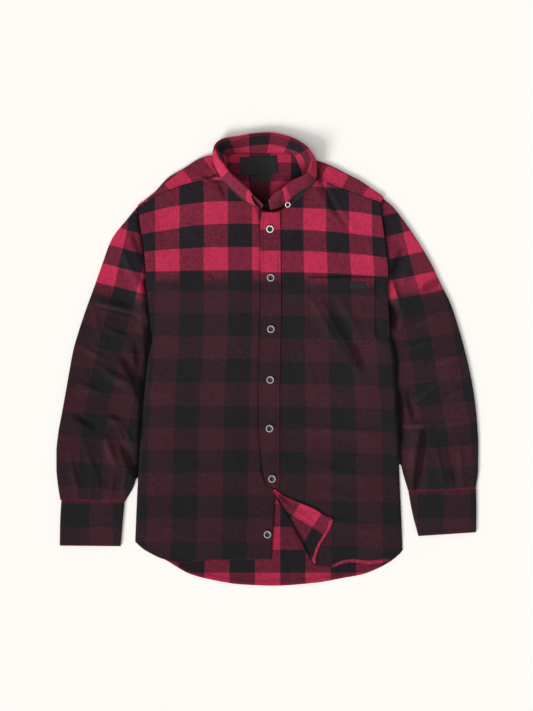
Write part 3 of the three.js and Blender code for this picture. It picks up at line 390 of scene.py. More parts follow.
class Graph:
    """Adds and links a material's shader nodes. A value is a socket to link from, or a constant"""

    def __init__(self, name):
        self.material = bpy.data.materials.new(name)
        self.material.use_nodes = True
        self.tree = self.material.node_tree
        self.tree.nodes.clear()

    def add(self, kind, settings=None, **sockets):
        made = self.tree.nodes.new(kind)
        made.location = (len(self.tree.nodes) * 180, 0)
        for key, value in (settings or {}).items():
            setattr(made, key, value)
        for key, value in sockets.items():
            self.feed(made.inputs[key.replace("_", " ")], value)
        return made

    def feed(self, socket, value):
        if isinstance(value, bpy.types.NodeSocket):
            self.tree.links.new(value, socket)
        else:
            socket.default_value = value

    def maths(self, operation, *values, clamp=False):
        made = self.add("ShaderNodeMath", {"operation": operation, "use_clamp": clamp})
        for socket, value in zip(made.inputs, values):
            self.feed(socket, value)
        return made.outputs[0]

    def plus(self, a, b):
        return self.maths("ADD", a, b)

    def minus(self, a, b):
        return self.maths("SUBTRACT", a, b)

    def times(self, a, b, clamp=False):
        return self.maths("MULTIPLY", a, b, clamp=clamp)

    def remap(self, value, low, high, to_low=0.0, to_high=1.0, kind="LINEAR"):
        made = self.add("ShaderNodeMapRange", {"interpolation_type": kind})
        for socket, given in zip(made.inputs, (value, low, high, to_low, to_high)):
            self.feed(socket, given)
        return made.outputs[0]

    def mix(self, factor, a, b, blend="MIX"):
        made = self.add("ShaderNodeMix", {"data_type": "RGBA", "blend_type": blend})
        for k, given in ((0, factor), (6, a), (7, b)):
            self.feed(made.inputs[k], given)
        return made.outputs[2]

    def tint(self, colour, shade):
        """Colour made lighter or darker by a number"""
        grey = self.add("ShaderNodeCombineColor", Red=shade, Green=shade, Blue=shade).outputs[0]
        return self.mix(1.0, colour, grey, "MULTIPLY")

    def noise(self, place, scale, detail=2.0, roughness=0.5):
        made = self.add("ShaderNodeTexNoise", Vector=place, Scale=scale, Detail=detail, Roughness=roughness)
        return made.outputs["Fac"]

    def object_place(self):
        return self.add("ShaderNodeTexCoord").outputs["Object"]

    def attribute(self, name):
        """Three numbers that the mesh carries at each point"""
        held = self.add("ShaderNodeAttribute", {"attribute_name": name}).outputs["Vector"]
        return self.add("ShaderNodeSeparateXYZ", Vector=held).outputs

    def surface(self, colour, roughness, height, strength, **sockets):
        """The finished material, with a bump of this height"""
        bump = self.add("ShaderNodeBump", Height=height, Strength=strength, Distance=1.0).outputs[0]
        shader = self.add(
            "ShaderNodeBsdfPrincipled", Base_Color=colour, Roughness=roughness, Normal=bump, **sockets
        )
        self.add("ShaderNodeOutputMaterial", Surface=shader.outputs[0])
        return self.material


PALE = {"red": srgb(186, 46, 78), "mix": srgb(98, 33, 50), "black": srgb(33, 30, 36)}
DYED = {"red": srgb(65, 34, 42), "mix": srgb(48, 32, 38), "black": srgb(31, 31, 33)}
RUBBED = srgb(188, 46, 78)
YARNS_PER_SQUARE = 43.0
TWILL_YARNS = 1.5


def flannel(name):
    """Brushed twill in a buffalo check. The mesh attribute 'check' holds the check's coordinates in squares and
    how much darker the colour is made, by deeper dye and by painted shade, with painted highlight below zero,
    and 'tone' holds how far it is dyed, which side it is and how worn it is"""
    g = Graph(name)
    place = g.object_place()
    u, v, dye_and_painted_shade = g.attribute("check")
    dye, inside, worn = g.attribute("tone")
    fray = g.times(g.minus(g.noise(place, 420.0, 3.0), 0.5), 0.07)

    def yarn(t):
        wave = g.maths("SINE", g.times(g.plus(t, fray), math.pi))
        return g.remap(wave, 0.07, -0.07, kind="SMOOTHSTEP")

    warp, weft = yarn(u), yarn(v)
    jitter = g.times(g.noise(place, 900.0), 1.2)
    diagonal = g.plus(g.plus(g.times(u, YARNS_PER_SQUARE), g.times(v, YARNS_PER_SQUARE)), jitter)
    twill = g.maths("SINE", g.times(diagonal, 2 * math.pi / TWILL_YARNS))
    face = g.remap(twill, -0.6, 0.6)
    wash = g.noise(place, 9.0, 4.0, 0.65)
    bleed = g.plus(dye, g.times(g.minus(wash, 0.5), 0.25))
    dyed = g.remap(g.times(bleed, g.minus(1.0, inside)), 0.12, 0.88, kind="SMOOTHSTEP")

    # The weft shows a little more than the warp, less so where dyed, and the other way round inside
    share = g.minus(g.remap(dyed, 0.0, 1.0, 0.57, 0.47), g.times(inside, 0.12))
    average = g.plus(warp, g.times(g.minus(weft, warp), share))
    woven = g.plus(warp, g.times(g.minus(weft, warp), face))

    def slub(along_u, along_v):
        """Unevenness drawn out along one set of yarns, which follows the squares"""
        drawn = g.add("ShaderNodeCombineXYZ", X=g.times(u, along_u), Y=g.times(v, along_v), Z=inside)
        return g.minus(g.noise(drawn.outputs[0], 1.0, 3.0, 0.65), 0.5)

    nap = g.noise(place, 260.0, 4.0, 0.7)
    fuzz = g.times(g.minus(nap, 0.5), 0.3)
    slubs = g.plus(slub(4.0, 19.0), slub(19.0, 3.0))
    level = g.plus(g.times(woven, 0.3), g.times(average, 0.7))
    level = g.times(level, g.remap(inside, 0.0, 1.0, 1.0, 0.93))
    level = g.plus(level, g.plus(g.times(slubs, 0.42), fuzz))

    def coloured(shades):
        ramp = g.add("ShaderNodeValToRGB", Fac=level)
        stops = ramp.color_ramp.elements
        stops[0].position, stops[0].color = 0.04, shades["black"]
        stops[1].position, stops[1].color = 0.95, shades["red"]
        stops.new(0.5).color = shades["mix"]
        return ramp.outputs["Color"]

    cloud = g.remap(wash, 0.3, 0.7, 0.91, 1.09)
    grain = g.remap(g.noise(place, 190.0, 3.0, 0.7), 0.3, 0.7, 0.8, 1.2)
    # Deeper dye and painted shade darken the colour; below zero, painted highlight lightens it
    shade = g.times(g.times(cloud, grain), g.remap(dye_and_painted_shade, -1.0, 3.6, 1.267, 0.04))
    colour = g.tint(g.mix(dyed, coloured(PALE), coloured(DYED)), shade)
    rubbed = g.times(worn, g.remap(g.noise(place, 220.0, 3.0), 0.35, 0.65, 0.2, 1.0))
    colour = g.mix(g.times(rubbed, 0.6, clamp=True), colour, RUBBED)
    height = g.plus(g.times(twill, 0.00012), g.times(nap, 0.0007))
    height = g.plus(height, g.times(g.noise(place, 70.0, 2.0), 0.0012))
    return g.surface(
        colour, g.remap(nap, 0.3, 0.7, 0.82, 0.98), height, 0.55, Specular_IOR_Level=0.08, Sheen_Weight=0.06,
        Sheen_Roughness=0.55, Sheen_Tint=(1, 0.86, 0.88, 1),
    )


def plain(name, base, roughness, scale, contrast=0.2, bump=0.0003, level=0.3):
    """Yarn, tape or moulded plastic: one colour broken by fine noise, with a grain in its bump"""
    g = Graph(name)
    grain = g.noise(g.object_place(), scale, 3.0, 0.6)
    colour = g.tint(base, g.remap(grain, 0.3, 0.7, 1 - contrast, 1 + contrast))
    rough = g.remap(grain, 0.3, 0.7, roughness - 0.06, roughness + 0.06)
    return g.surface(colour, rough, g.times(grain, bump), 0.6, Specular_IOR_Level=level)


FLANNEL = flannel("brushed_flannel")
THREAD = plain("dark_thread", srgb(40, 24, 30), 0.8, 900.0, 0.3)
RED_THREAD = plain("red_thread", srgb(120, 30, 52), 0.8, 900.0, 0.3)
BLACK_TAPE = plain("woven_tape", srgb(24, 23, 26), 0.62, 1400.0, 0.25, 0.0006)
BUTTON_GREY = plain("grey_resin", srgb(176, 172, 172), 0.32, 180.0, 0.1, 0.0001, 0.5)
BUTTON_WHITE = plain("white_resin", srgb(242, 238, 234), 0.3, 180.0, 0.04, 0.0001, 0.5)
WELL_DARK = plain("dark_inlay", srgb(34, 30, 32), 0.4, 180.0, 0.1, 0.0001, 0.5)


# Meshes

cloths, sheets, threads = {}, {}, {}


def make_object(name, points, faces, material, node=None, attributes=None):
    """Mesh, made in metres, that rides on the body and may stand for one of the solids"""
    mesh = bpy.data.meshes.new(name)
    mesh.from_pydata((np.asarray(points) * MM).tolist(), [], faces)
    mesh.update()
    mesh.shade_smooth()
    for key, values in (attributes or {}).items():
        layer = mesh.attributes.new(key, "FLOAT_VECTOR", "POINT")
        layer.data.foreach_set("vector", np.ascontiguousarray(values, np.float32).ravel())
    mesh.materials.append(material)
    made = bpy.data.objects.new(name, mesh)
    bpy.context.scene.collection.objects.link(made)
    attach(made, "root")
    if node:
        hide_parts(node)
    return made


class Cloth:
    """Grid of points on the face of a piece of cloth, with its normals and which cells are there"""

    def __init__(self, points, wrap=False, keep=None):
        self.points = np.asarray(points, float)
        self.wrap = wrap
        ni, nj = self.points.shape[:2]
        self.keep = np.ones((ni if wrap else ni - 1, nj - 1), bool) if keep is None else keep
        ids = np.arange(ni * nj).reshape(ni, nj)
        ahead = np.roll(ids, -1, axis=0)
        corners = [ids[:, :-1], ahead[:, :-1], ahead[:, 1:], ids[:, 1:]]
        self.corners = corners if wrap else [c[:-1] for c in corners]
        flat = self.points.reshape(-1, 3)
        a, b, c, d = (flat[k] for k in self.corners)
        cell = np.cross(c - a, d - b)
        cell /= np.maximum(np.linalg.norm(cell, axis=2, keepdims=True), 1e-9)
        cell *= self.keep[..., None]
        normals = np.zeros_like(flat)
        for k in self.corners:
            np.add.at(normals, k, cell)
        normals /= np.maximum(np.linalg.norm(normals, axis=1, keepdims=True), 1e-9)
        self.normals = normals.reshape(self.points.shape)

    def shell(self, thickness):
        """Points and faces of the closed wall: face, back, and rims along open edges"""
        depth = np.broadcast_to(np.asarray(thickness, float), self.points.shape[:2])[..., None]
        inner = self.points - self.normals * depth
        inner[..., 2] = np.maximum(inner[..., 2], 0)
        count = self.points.shape[0] * self.points.shape[1]
        keep = self.keep
        padded = np.pad(keep, 1)
        if self.wrap:
            padded[0, 1:-1], padded[-1, 1:-1] = keep[-1], keep[0]
        open_sides = [~padded[1:-1, :-2], ~padded[2:, 1:-1], ~padded[1:-1, 2:], ~padded[:-2, 1:-1]]
        a, b, c, d = (k[keep] for k in self.corners)
        faces = [np.stack([a, b, c, d], 1), np.stack([a, d, c, b], 1) + count]
        for side, is_open in enumerate(open_sides):
            mask = keep & is_open
            start, end = self.corners[side][mask], self.corners[(side + 1) % 4][mask]
            faces.append(np.stack([end, start, start + count, end + count], 1))
        return np.concatenate([self.points.reshape(-1, 3), inner.reshape(-1, 3)]), np.concatenate(faces)

    def line(self, side, inset, start=0.0, stop=1.0):
        """Points and normals of a line that runs `inset` mm inside one edge of the grid"""
        points, normals = self.points, self.normals
        if side in ("first_j", "last_j"):
            points, normals = points.swapaxes(0, 1), normals.swapaxes(0, 1)
        if side in ("last_i", "last_j"):
            points, normals = points[::-1], normals[::-1]
        step = np.linalg.norm(np.diff(points, axis=0), axis=2)
        run = np.concatenate([np.zeros((1, points.shape[1])), np.cumsum(step, axis=0)])
        columns = points.shape[1] - 1
        made = []
        for j in range(round(start * columns), round(stop * columns) + 1):
            made.append([
                np.interp(inset, run[:, j], grid[:, j, axis]) for grid in (points, normals) for axis in range(3)
            ])
        made = np.array(made)
        return made[:, :3], made[:, 3:]


def edge_distance(points, *sides):
    """Distance of each point of a grid from the named edges, along the grid's lines"""
    distance = np.full(points.shape[:2], FAR)
    for axis, (first, last) in enumerate((("first_i", "last_i"), ("first_j", "last_j"))):
        step = np.linalg.norm(np.diff(points, axis=axis), axis=2)
        pad = [(1, 0), (0, 0)] if axis == 0 else [(0, 0), (1, 0)]
        run = np.cumsum(np.pad(step, pad), axis=axis)
        total = run[-1:, :] if axis == 0 else run[:, -1:]
        if first in sides:
            distance = np.minimum(distance, run)
        if last in sides:
            distance = np.minimum(distance, total - run)
    return distance


def cloth_piece(key, cloth, check, dye, thickness=CLOTH, worn=0.0, side=0.0, dye_and_painted_shade=0.0, inner_dye_and_painted_shade=None):
    """One piece of flannel that stands for its solid, with what flannel() reads at each grid point"""
    points, faces = cloth.shell(thickness)

    def layer(*columns):
        shape = cloth.points.shape[:2]
        return np.stack([np.broadcast_to(column, shape) for column in columns], -1).reshape(-1, 3)

    used = np.unique(faces)
    renumber = np.full(len(points), -1)
    renumber[used] = np.arange(len(used))
    # Darkening by deeper dye and by painted shade, on the face and on the back
    inner_dye_and_painted_shade = dye_and_painted_shade if inner_dye_and_painted_shade is None else inner_dye_and_painted_shade
    attributes = {
        "check": np.concatenate([layer(*check, dye_and_painted_shade), layer(*check, inner_dye_and_painted_shade)])[used],
        "tone": np.concatenate([layer(dye, side, worn), layer(dye, 1.0, worn)])[used],
    }
    cloths[key] = cloth
    sheets[key] = make_object(
        f"{key}_cloth", points[used], renumber[faces].tolist(), FLANNEL, key, attributes
    )


def unit(vector):
    return vector / max(np.linalg.norm(vector), 1e-9)


def sampled(place, run, values):
    return np.array([np.interp(place, run, values[:, k]) for k in range(3)])


def stitches(name, lines, material=THREAD, pitch=3.0, length=2.1, radius=0.3, slot="flannel"):
    """Rows of single stitches: small rounded strands lying along lines on the cloth"""
    sides = STITCH_SIDES
    points, faces = [], []
    for line, normals in lines:
        run = np.concatenate([[0], np.cumsum(np.linalg.norm(np.diff(line, axis=0), axis=1))])
        for at in np.arange(pitch / 2, run[-1] - pitch / 2, pitch):
            along = unit(sampled(at + 1, run, line) - sampled(at - 1, run, line))
            up = sampled(at, run, normals)
            up = unit(up - along * (up @ along))
            side = np.cross(along, up)
            centre = sampled(at, run, line) + up * radius * 0.4
            first = len(points)
            for t, size in STITCH_SECTIONS:
                for angle in np.arange(sides) / sides * 2 * math.pi:
                    ring = (side * math.cos(angle) + up * math.sin(angle)) * radius * size
                    points.append(centre + along * t * length + ring)
            last = len(points) - sides
            for a in range(first, last):
                b = a + 1 if (a + 1 - first) % sides else a + 1 - sides
                faces.append([a, b, b + sides, a + sides])
            faces.append(list(range(first + sides - 1, first - 1, -1)))
            faces.append(list(range(last, last + sides)))
    return make_object(name, points, faces, material)


# Check coordinates

def front_check(columns, heights, droop, start_x, run, most):
    """Squares of a front panel, whose rows sag from a place across towards its side"""
    start, width, drop = curve(columns, "y", "start"), curve(columns, "y", "width"), curve(droop, "y", "drop")
    ordered = np.array(heights[::-1], float)
    numbers = np.arange(len(heights))[::-1] + FIRST_ROW

    def at(x, y):
        level = y + drop(y) * np.clip((x - start_x) / run, 0, most) ** 2
        return (x - start(level)) / width(level), np.interp(level, ordered, numbers)

    return at


right_check = front_check(RIGHT_COLUMNS, RIGHT_ROWS, RIGHT_DROOP, -70.7, -155, 1.4)
left_check = front_check(LEFT_COLUMNS, LEFT_ROWS, LEFT_DROOP, 32, 180, 1.2)


def back_check(x, y):
    return (x + 67.7) / 45.5, (-260.5 - y) / 41.1


def sleeve_check(spine):
    place, rows, tilt = (curve(spine, "y", key) for key in ("x", "v", "tilt"))

    def at(x, y):
        level = np.asarray(y, float)
        for _ in range(4):
            level = y + np.tan(np.radians(tilt(level))) * (x - place(level))
        turn = np.radians(tilt(level))
        return (x - place(level)) / np.cos(turn) / SLEEVE_WIDTH + 0.5, rows(level)

    return at


def body_dye(y):
    return 1 - (np.asarray(y, float) - DYE["full"]) / (DYE["clear"] - DYE["full"])


def body_deep(y):
    return 0.75 * smooth((60 - np.asarray(y, float)) / 460)


def rub(distance, reach=1.6):
    return np.exp(-(distance / reach) ** 2)


# Body panels

right_edge, left_edge = curve(BODY, "y", "right"), curve(BODY, "y", "left")
back_hem, right_hem, left_hem = (curve(rows, "x", "y") for rows in (BACK_HEM, RIGHT_HEM, LEFT_HEM))
right_top, left_top = curve(RIGHT_TOP, "x", "y"), curve(LEFT_TOP, "x", "y")
right_centre = curve(RIGHT_CENTRE, "y", "x")
placket_left, placket_right = curve(PLACKET_EDGE, "y", "left"), curve(PLACKET_EDGE, "y", "right")
EDGE_STEPS = np.array([0, 0.15, 0.5, 1, 1.7, 2.6, 3.8, 5.2, EDGE_ROLL])
NEAR_HEM = 0.06
BEND_ROWS = 11
FLAP_ROWS = 34


def rolled(top, away, y):
    """Roll of the upper layer down to the surface at a side seam, or level into the armhole"""
    edge = lerp(0, ARMHOLE_TOP, smooth((y - UNDERARM_Y + 4) / ARMHOLE_RUN))
    t = np.clip(away / EDGE_ROLL, 0, 1)
    return edge + (top - edge) * np.sqrt(1 - (1 - t) ** 2)


def hem_pucker(x, above, seed):
    """Small waves that a stitched hem draws into the cloth above it"""
    wave = 0.28 * unrest(x, 0 * x, 9, seed) + 0.14 * unrest(x, 0 * x, 4, seed + 1)
    return wave * np.exp(-((above - 9) / 7) ** 2)


def placket_groove(x, y):
    return -1.4 * np.exp(-((placket_left(y) - 1.6 - x) / 1.5) ** 2) * (y > -228)


def right_height(x, y):
    under = smooth((x - OVERLAP["outer"]) / OVERLAP["run"])
    level = lerp(FRONT_TOP, OVERLAP_TOP, under) + relief(x, y) * (1 - under)
    above = y - right_hem(x)
    top = lerp(HEM_TOP, level, smooth(above / HEM_RISE)) + np.maximum(hem_pucker(x, above, 11), -0.1)
    return rolled(top + placket_groove(x, y), x - right_edge(y), y)


def painted_placket_shade(x, y):
    """Painted shade along the placket's left edge, widest at the neck and near the turned corner"""
    away = placket_left(y) + 0.4 - x
    reach = 2.4 + 7.5 * smooth((y - 240) / 28) + 2.2 * smooth((-160 - y) / 40) + 0.7 * unrest(0 * x, y, 16, 13)
    strong = 2.5 + 0.8 * smooth((y - 225) / 20)
    return strong * np.exp(-(np.maximum(away, 0) / reach) ** 4) * smooth((y + 234) / 14)


def left_height(x, y):
    above = y - left_hem(x)
    drop = HEM_DROP * (1 - smooth(above / HEM_RISE)) * smooth((x - FOLD_C[0] - 6) / 50)
    level = FRONT_TOP - drop + relief(x, y) * smooth((x - FLAT_PLACKET["edge"]) / FLAT_PLACKET["run"])
    return rolled(level + hem_pucker(x, above, 21) * smooth((x - 90) / 20), left_edge(y) - x, y)


def coons(centre, side, hem, top, u, v):
    """Patch between four curves, each given as arrays of x and y"""
    grid = []
    for axis in (0, 1):
        across = lerp(centre[axis][None, :], side[axis][None, :], u[:, None])
        up = lerp(hem[axis][:, None], top[axis][:, None], v[None, :])
        low = lerp(hem[axis][0], hem[axis][-1], u)[:, None]
        high = lerp(top[axis][0], top[axis][-1], u)[:, None]
        grid.append(across + up - lerp(low, high, v[None, :]))
    return grid


def build_back():
    u = np.linspace(1, 0, 120)[:, None]
    v = np.linspace(0, 1, 150)[None, :] ** 1.15
    guess = lerp(right_edge(-345.0), left_edge(-345.0), u)
    y = lerp(back_hem(guess), BACK_YOKE_Y - GAP, v)
    inset = lerp(BACK_INSET, BACK_ARMHOLE_GAP, smooth((y - UNDERARM_Y + 2) / 4))
    x = lerp(right_edge(y) + inset, left_edge(y) - inset, u)
    y = np.where(v == 0, back_hem(x), y)
    cloth = Cloth(np.stack([x, y, np.zeros_like(x)], -1))
    above = y - back_hem(x)
    doubled = 0.9 * smooth((8.5 - above) / 1.5)
    wave = (0.5 * unrest(x, y, 12, 31) + 0.4) * np.exp(-((above - 12) / 12) ** 2)
    ripple = np.maximum(wave, 0) * smooth((-250 - y) / 30)
    cloth_piece(
        "back", cloth, back_check(x, y), body_dye(y), CLOTH + doubled + ripple, rub(above, 2.0),
        dye_and_painted_shade=body_deep(y),
    )


def panel_rows(near_hem):
    """Places up a front panel, close together near the hem"""
    return np.concatenate([np.linspace(0, NEAR_HEM, near_hem), np.linspace(NEAR_HEM, 1, 230)[1:]])


def build_right_front():
    v = panel_rows(24)
    width = 228
    u = np.unique(np.concatenate([np.linspace(0, 1 - EDGE_ROLL / width, 100), 1 - EDGE_STEPS / width]))
    (hem_side, *_, hem_centre), (top_side, *_, top_centre) = RIGHT_HEM["x"], RIGHT_TOP["x"]
    hem_x, top_x = lerp(hem_centre, hem_side, u), lerp(top_centre, top_side, u)
    centre_y = lerp(right_hem(hem_centre), right_top(top_centre), v)
    side_y = lerp(right_hem(hem_side), right_top(top_side), v)
    x, y = coons(
        (right_centre(centre_y), centre_y), (right_edge(side_y), side_y),
        (hem_x, right_hem(hem_x)), (top_x, right_top(top_x)), u, v,
    )
    x, y = x[::-1], y[::-1]
    cloth = Cloth(np.stack([x, y, right_height(x, y)], -1))
    hem, centre = edge_distance(cloth.points, "first_j"), edge_distance(cloth.points, "last_i")
    cloth_piece(
        "front_right", cloth, right_check(x, y), body_dye(y),
        worn=0.12 * np.maximum(rub(hem, 1.2), rub(centre, 1.0) * (y < -225)),
        # Dye darkening, painted shade beside the placket and in the fold troughs, painted highlight on the
        # crests
        dye_and_painted_shade=body_deep(y) + painted_placket_shade(x, y) + painted_crease_shade(x, y),
    )


fold_run = FOLD_C - FOLD_A
fold_length = float(np.linalg.norm(fold_run))
fold_along = fold_run / fold_length
fold_across = np.array([-fold_along[1], fold_along[0]])
fold_reach = curve(FLAP, "s", "reach")
FOLD_START, FOLD_END = FLAP["s"][0], FLAP["s"][-1]


def fold_radius(s):
    t = np.minimum(s - FOLD_START, FOLD_END - s) / 30
    return lerp(FOLD_RADIUS_END, FOLD_RADIUS, smooth(t))


def on_flap(s, across):
    return (
        FOLD_A[0] + fold_along[0] * s + fold_across[0] * across,
        FOLD_A[1] + fold_along[1] * s + fold_across[1] * across,
    )


def build_left_front():
    """The panel, and its lower corner carried on round the fold and back over it, inside face up"""
    turn_u, width = 0.34, 236
    u = np.unique(np.concatenate([
        np.linspace(0, turn_u, 74), np.linspace(turn_u, 1 - EDGE_ROLL / width, 80), 1 - EDGE_STEPS / width,
    ]))
    v = panel_rows(26)
    turned = u <= turn_u + 1e-9
    s = np.where(turned, u / turn_u * fold_length, 0)
    on_fold = np.clip(s, FOLD_START, FOLD_END)
    radius = fold_radius(on_fold)
    fold_x, fold_y = on_flap(s, radius)
    hem_side, top_centre, top_side = LEFT_HEM["x"][-1], LEFT_TOP["x"][0], BODY["left"][1] + 1
    hem_start = on_flap(fold_length, FOLD_RADIUS_END)[0]
    rest_x = lerp(hem_start, hem_side, np.clip((u - turn_u) / (1 - turn_u), 0, 1))
    hem_x, hem_y = np.where(turned, fold_x, rest_x), np.where(turned, fold_y, left_hem(rest_x))
    top_x = lerp(top_centre, top_side, u)
    centre_y = lerp(hem_y[0], left_top(top_centre), v)
    centre_x = lerp(hem_x[0], placket_left(centre_y), smooth(v / NEAR_HEM))
    side_y = lerp(left_hem(hem_side), left_top(top_side), v)
    x, y = coons(
        (centre_x, centre_y), (left_edge(side_y), side_y), (hem_x, hem_y), (top_x, left_top(top_x)), u, v,
    )
    z = left_height(x, y)

    # Rows of the turned corner and of the bend, from the corner's edge back to the panel
    rows = []
    root = z[:, 0]
    reach = np.maximum(fold_reach(on_fold), radius + 2.5)
    bend_inner, mid = radius - CLOTH, radius - CLOTH / 2
    for t in np.linspace(1, 0, FLAP_ROWS + 1)[:-1]:
        across = lerp(radius, reach, t)
        px, py = on_flap(s, across)
        laid = left_height(px, py) + GAP + 0.15
        lift = 0.5 * (unrest(s, across, 22, 41) + 0.6) * smooth(t * 2)
        height = np.maximum(lerp(root + 2 * bend_inner, laid, smooth(t * 1.3)), laid) + lift
        rows.append((px, py, height, *on_flap(s, radius - math.pi * mid - (across - radius))))
    for angle in np.linspace(math.pi, 0, BEND_ROWS + 1)[:-1]:
        px, py = on_flap(s, radius - bend_inner * math.sin(angle))
        height = root + bend_inner * (1 - math.cos(angle))
        rows.append((px, py, height, *on_flap(s, radius - mid * angle)))
    x, y, z, check_x, check_y = (
        np.concatenate([extra.T, panel], axis=1)
        for extra, panel in zip(np.array(rows).swapaxes(0, 1), (x, y, z, x, y))
    )
    count = len(rows)
    keep = np.ones((len(u) - 1, x.shape[1] - 1), bool)
    in_fold = turned & (s >= FOLD_START - 0.5) & (s <= FOLD_END + 0.5)
    keep[:, :count] = (in_fold[:-1] & in_fold[1:])[:, None]
    cloth = Cloth(np.stack([x, y, z], -1), keep=keep)

    row = np.broadcast_to(np.arange(x.shape[1]), x.shape)
    on_turned = row < FLAP_ROWS
    edge = np.full(x.shape, FAR)
    edge[:, :FLAP_ROWS + 1] = edge_distance(cloth.points[:, :FLAP_ROWS + 1], "first_j")
    turned_hem = (s > FLAP_CORNER)[:, None] & on_turned
    doubled = np.where(turned_hem, 0.9 * smooth((9.5 - edge) / 1.2), 0)
    doubled = doubled + np.where(~turned_hem & on_turned, 0.7 * smooth((check_x - 18) / -2), 0)
    above = np.where(row >= count, y - left_hem(x), FAR)
    hem_red = smooth((8.2 - above) / 1.5) * smooth((x - 114) / 8) * smooth((222 - x) / 16)
    worn = np.maximum(rub(above, 1.2), rub(edge, 1.6))
    worn = np.maximum(0.5 * worn, np.where(turned_hem, 2.4 * smooth((9.5 - edge) / 1.5), 0))
    worn = np.maximum(worn, 1.3 * hem_red * smooth((6 - above) / 1.5))
    seam_line = np.where(turned_hem, 2 * rub(edge - 10.6, 1.1), 0)
    # Painted shade along the bend of the turned corner
    bend = 3.3 * smooth((row - FLAP_ROWS + 3) / 3) * (row < count + 3) * turned[:, None]
    # Painted shade along the placket's right edge near the neck
    painted_shade_beside_band = 2.4 * rub(x - placket_right(y) - 0.8, 1.6) * smooth((y - 222) / 24)
    # Dye darkening, painted shade in the fold troughs, painted highlight on the crests
    panel_dye_and_painted_shade = body_deep(check_y) + painted_crease_shade(x, y) + painted_shade_beside_band
    cloth_piece(
        "front_left", cloth, left_check(check_x, check_y), body_dye(check_y), CLOTH + doubled, worn, hem_red,
        dye_and_painted_shade=np.maximum(np.maximum(seam_line, bend), np.where(on_turned, 0, panel_dye_and_painted_shade)),
    )


def placket_height(x, y):
    """Placket's face: the panel's face moved out, fluted between its two rows of stitching"""
    left, right = placket_left(y), placket_right(y)
    t = (x - left) / (right - left)
    flute = 0.35 * np.sin(math.pi * np.clip(t, 0, 1)) * (0.6 + 0.6 * unrest(0 * x, y, 30, 51))
    groove = -0.3 * (np.exp(-((x - left - 5) / 1.1) ** 2) + np.exp(-((right - 4 - x) / 1.1) ** 2))
    return left_height(x, y) + GAP + CLOTH + 0.35 + flute + groove


def build_placket():
    u = np.linspace(0, 1, 36)[:, None]
    v = np.linspace(0, 1, 260)[None, :]
    bottom = lerp(*PLACKET_BOTTOM, u)
    y = lerp(bottom, PLACKET_EDGE["y"][0] - 1, v)
    x = lerp(placket_left(y) + 0.4, placket_right(y), u)
    cloth = Cloth(np.stack([x, y, placket_height(x, y)], -1))
    edge = edge_distance(cloth.points, "first_i", "last_i")
    column, row = left_check(x, y)
    cloth_piece(
        "placket", cloth, (0 * column - 0.5, row), body_dye(y), CLOTH + 0.3,
        0.25 * rub(edge, 1.2) * (x > 10), dye_and_painted_shade=np.maximum(body_deep(y), 0.3),
    )


pocket_bottom = curve(POCKET_BOTTOM, "x", "y")


def pocket_height(x, y):
    band = POCKET["top"] - POCKET["band"]
    groove = -0.35 * np.exp(-((y - band) / 1.2) ** 2)
    doubled = 0.35 * smooth((y - band) / 1.5)
    bag = 0.5 * np.sin(math.pi * np.clip((x - POCKET["right"]) / (POCKET["left"] - POCKET["right"]), 0, 1))
    fullness = bag * smooth((POCKET["top"] - y) / -60 + 1)
    return left_height(x, y) + GAP + POCKET_CLOTH + groove + doubled + fullness


def build_pocket():
    u = np.linspace(0, 1, 64)[:, None]
    v = np.linspace(0, 1, 64)[None, :]
    x = lerp(POCKET["right"], POCKET["left"], u) + 0 * v
    y = lerp(pocket_bottom(x), POCKET["top"], v)
    cloth = Cloth(np.stack([x, y, pocket_height(x, y)], -1))
    edge = edge_distance(cloth.points, "first_i", "last_i", "first_j", "last_j")
    cloth_piece(
        "pocket", cloth, left_check(x, y), body_dye(y + 8), POCKET_CLOTH, 0.08 * rub(edge, 1.2),
        # Dye darkening, a dark line just inside the edge, painted shade in the fold troughs and painted
        # highlight on the crests
        dye_and_painted_shade=body_deep(y) + 0.9 * rub(edge - 2.2, 1.4) + 0.75 * painted_crease_shade(x, y),
    )


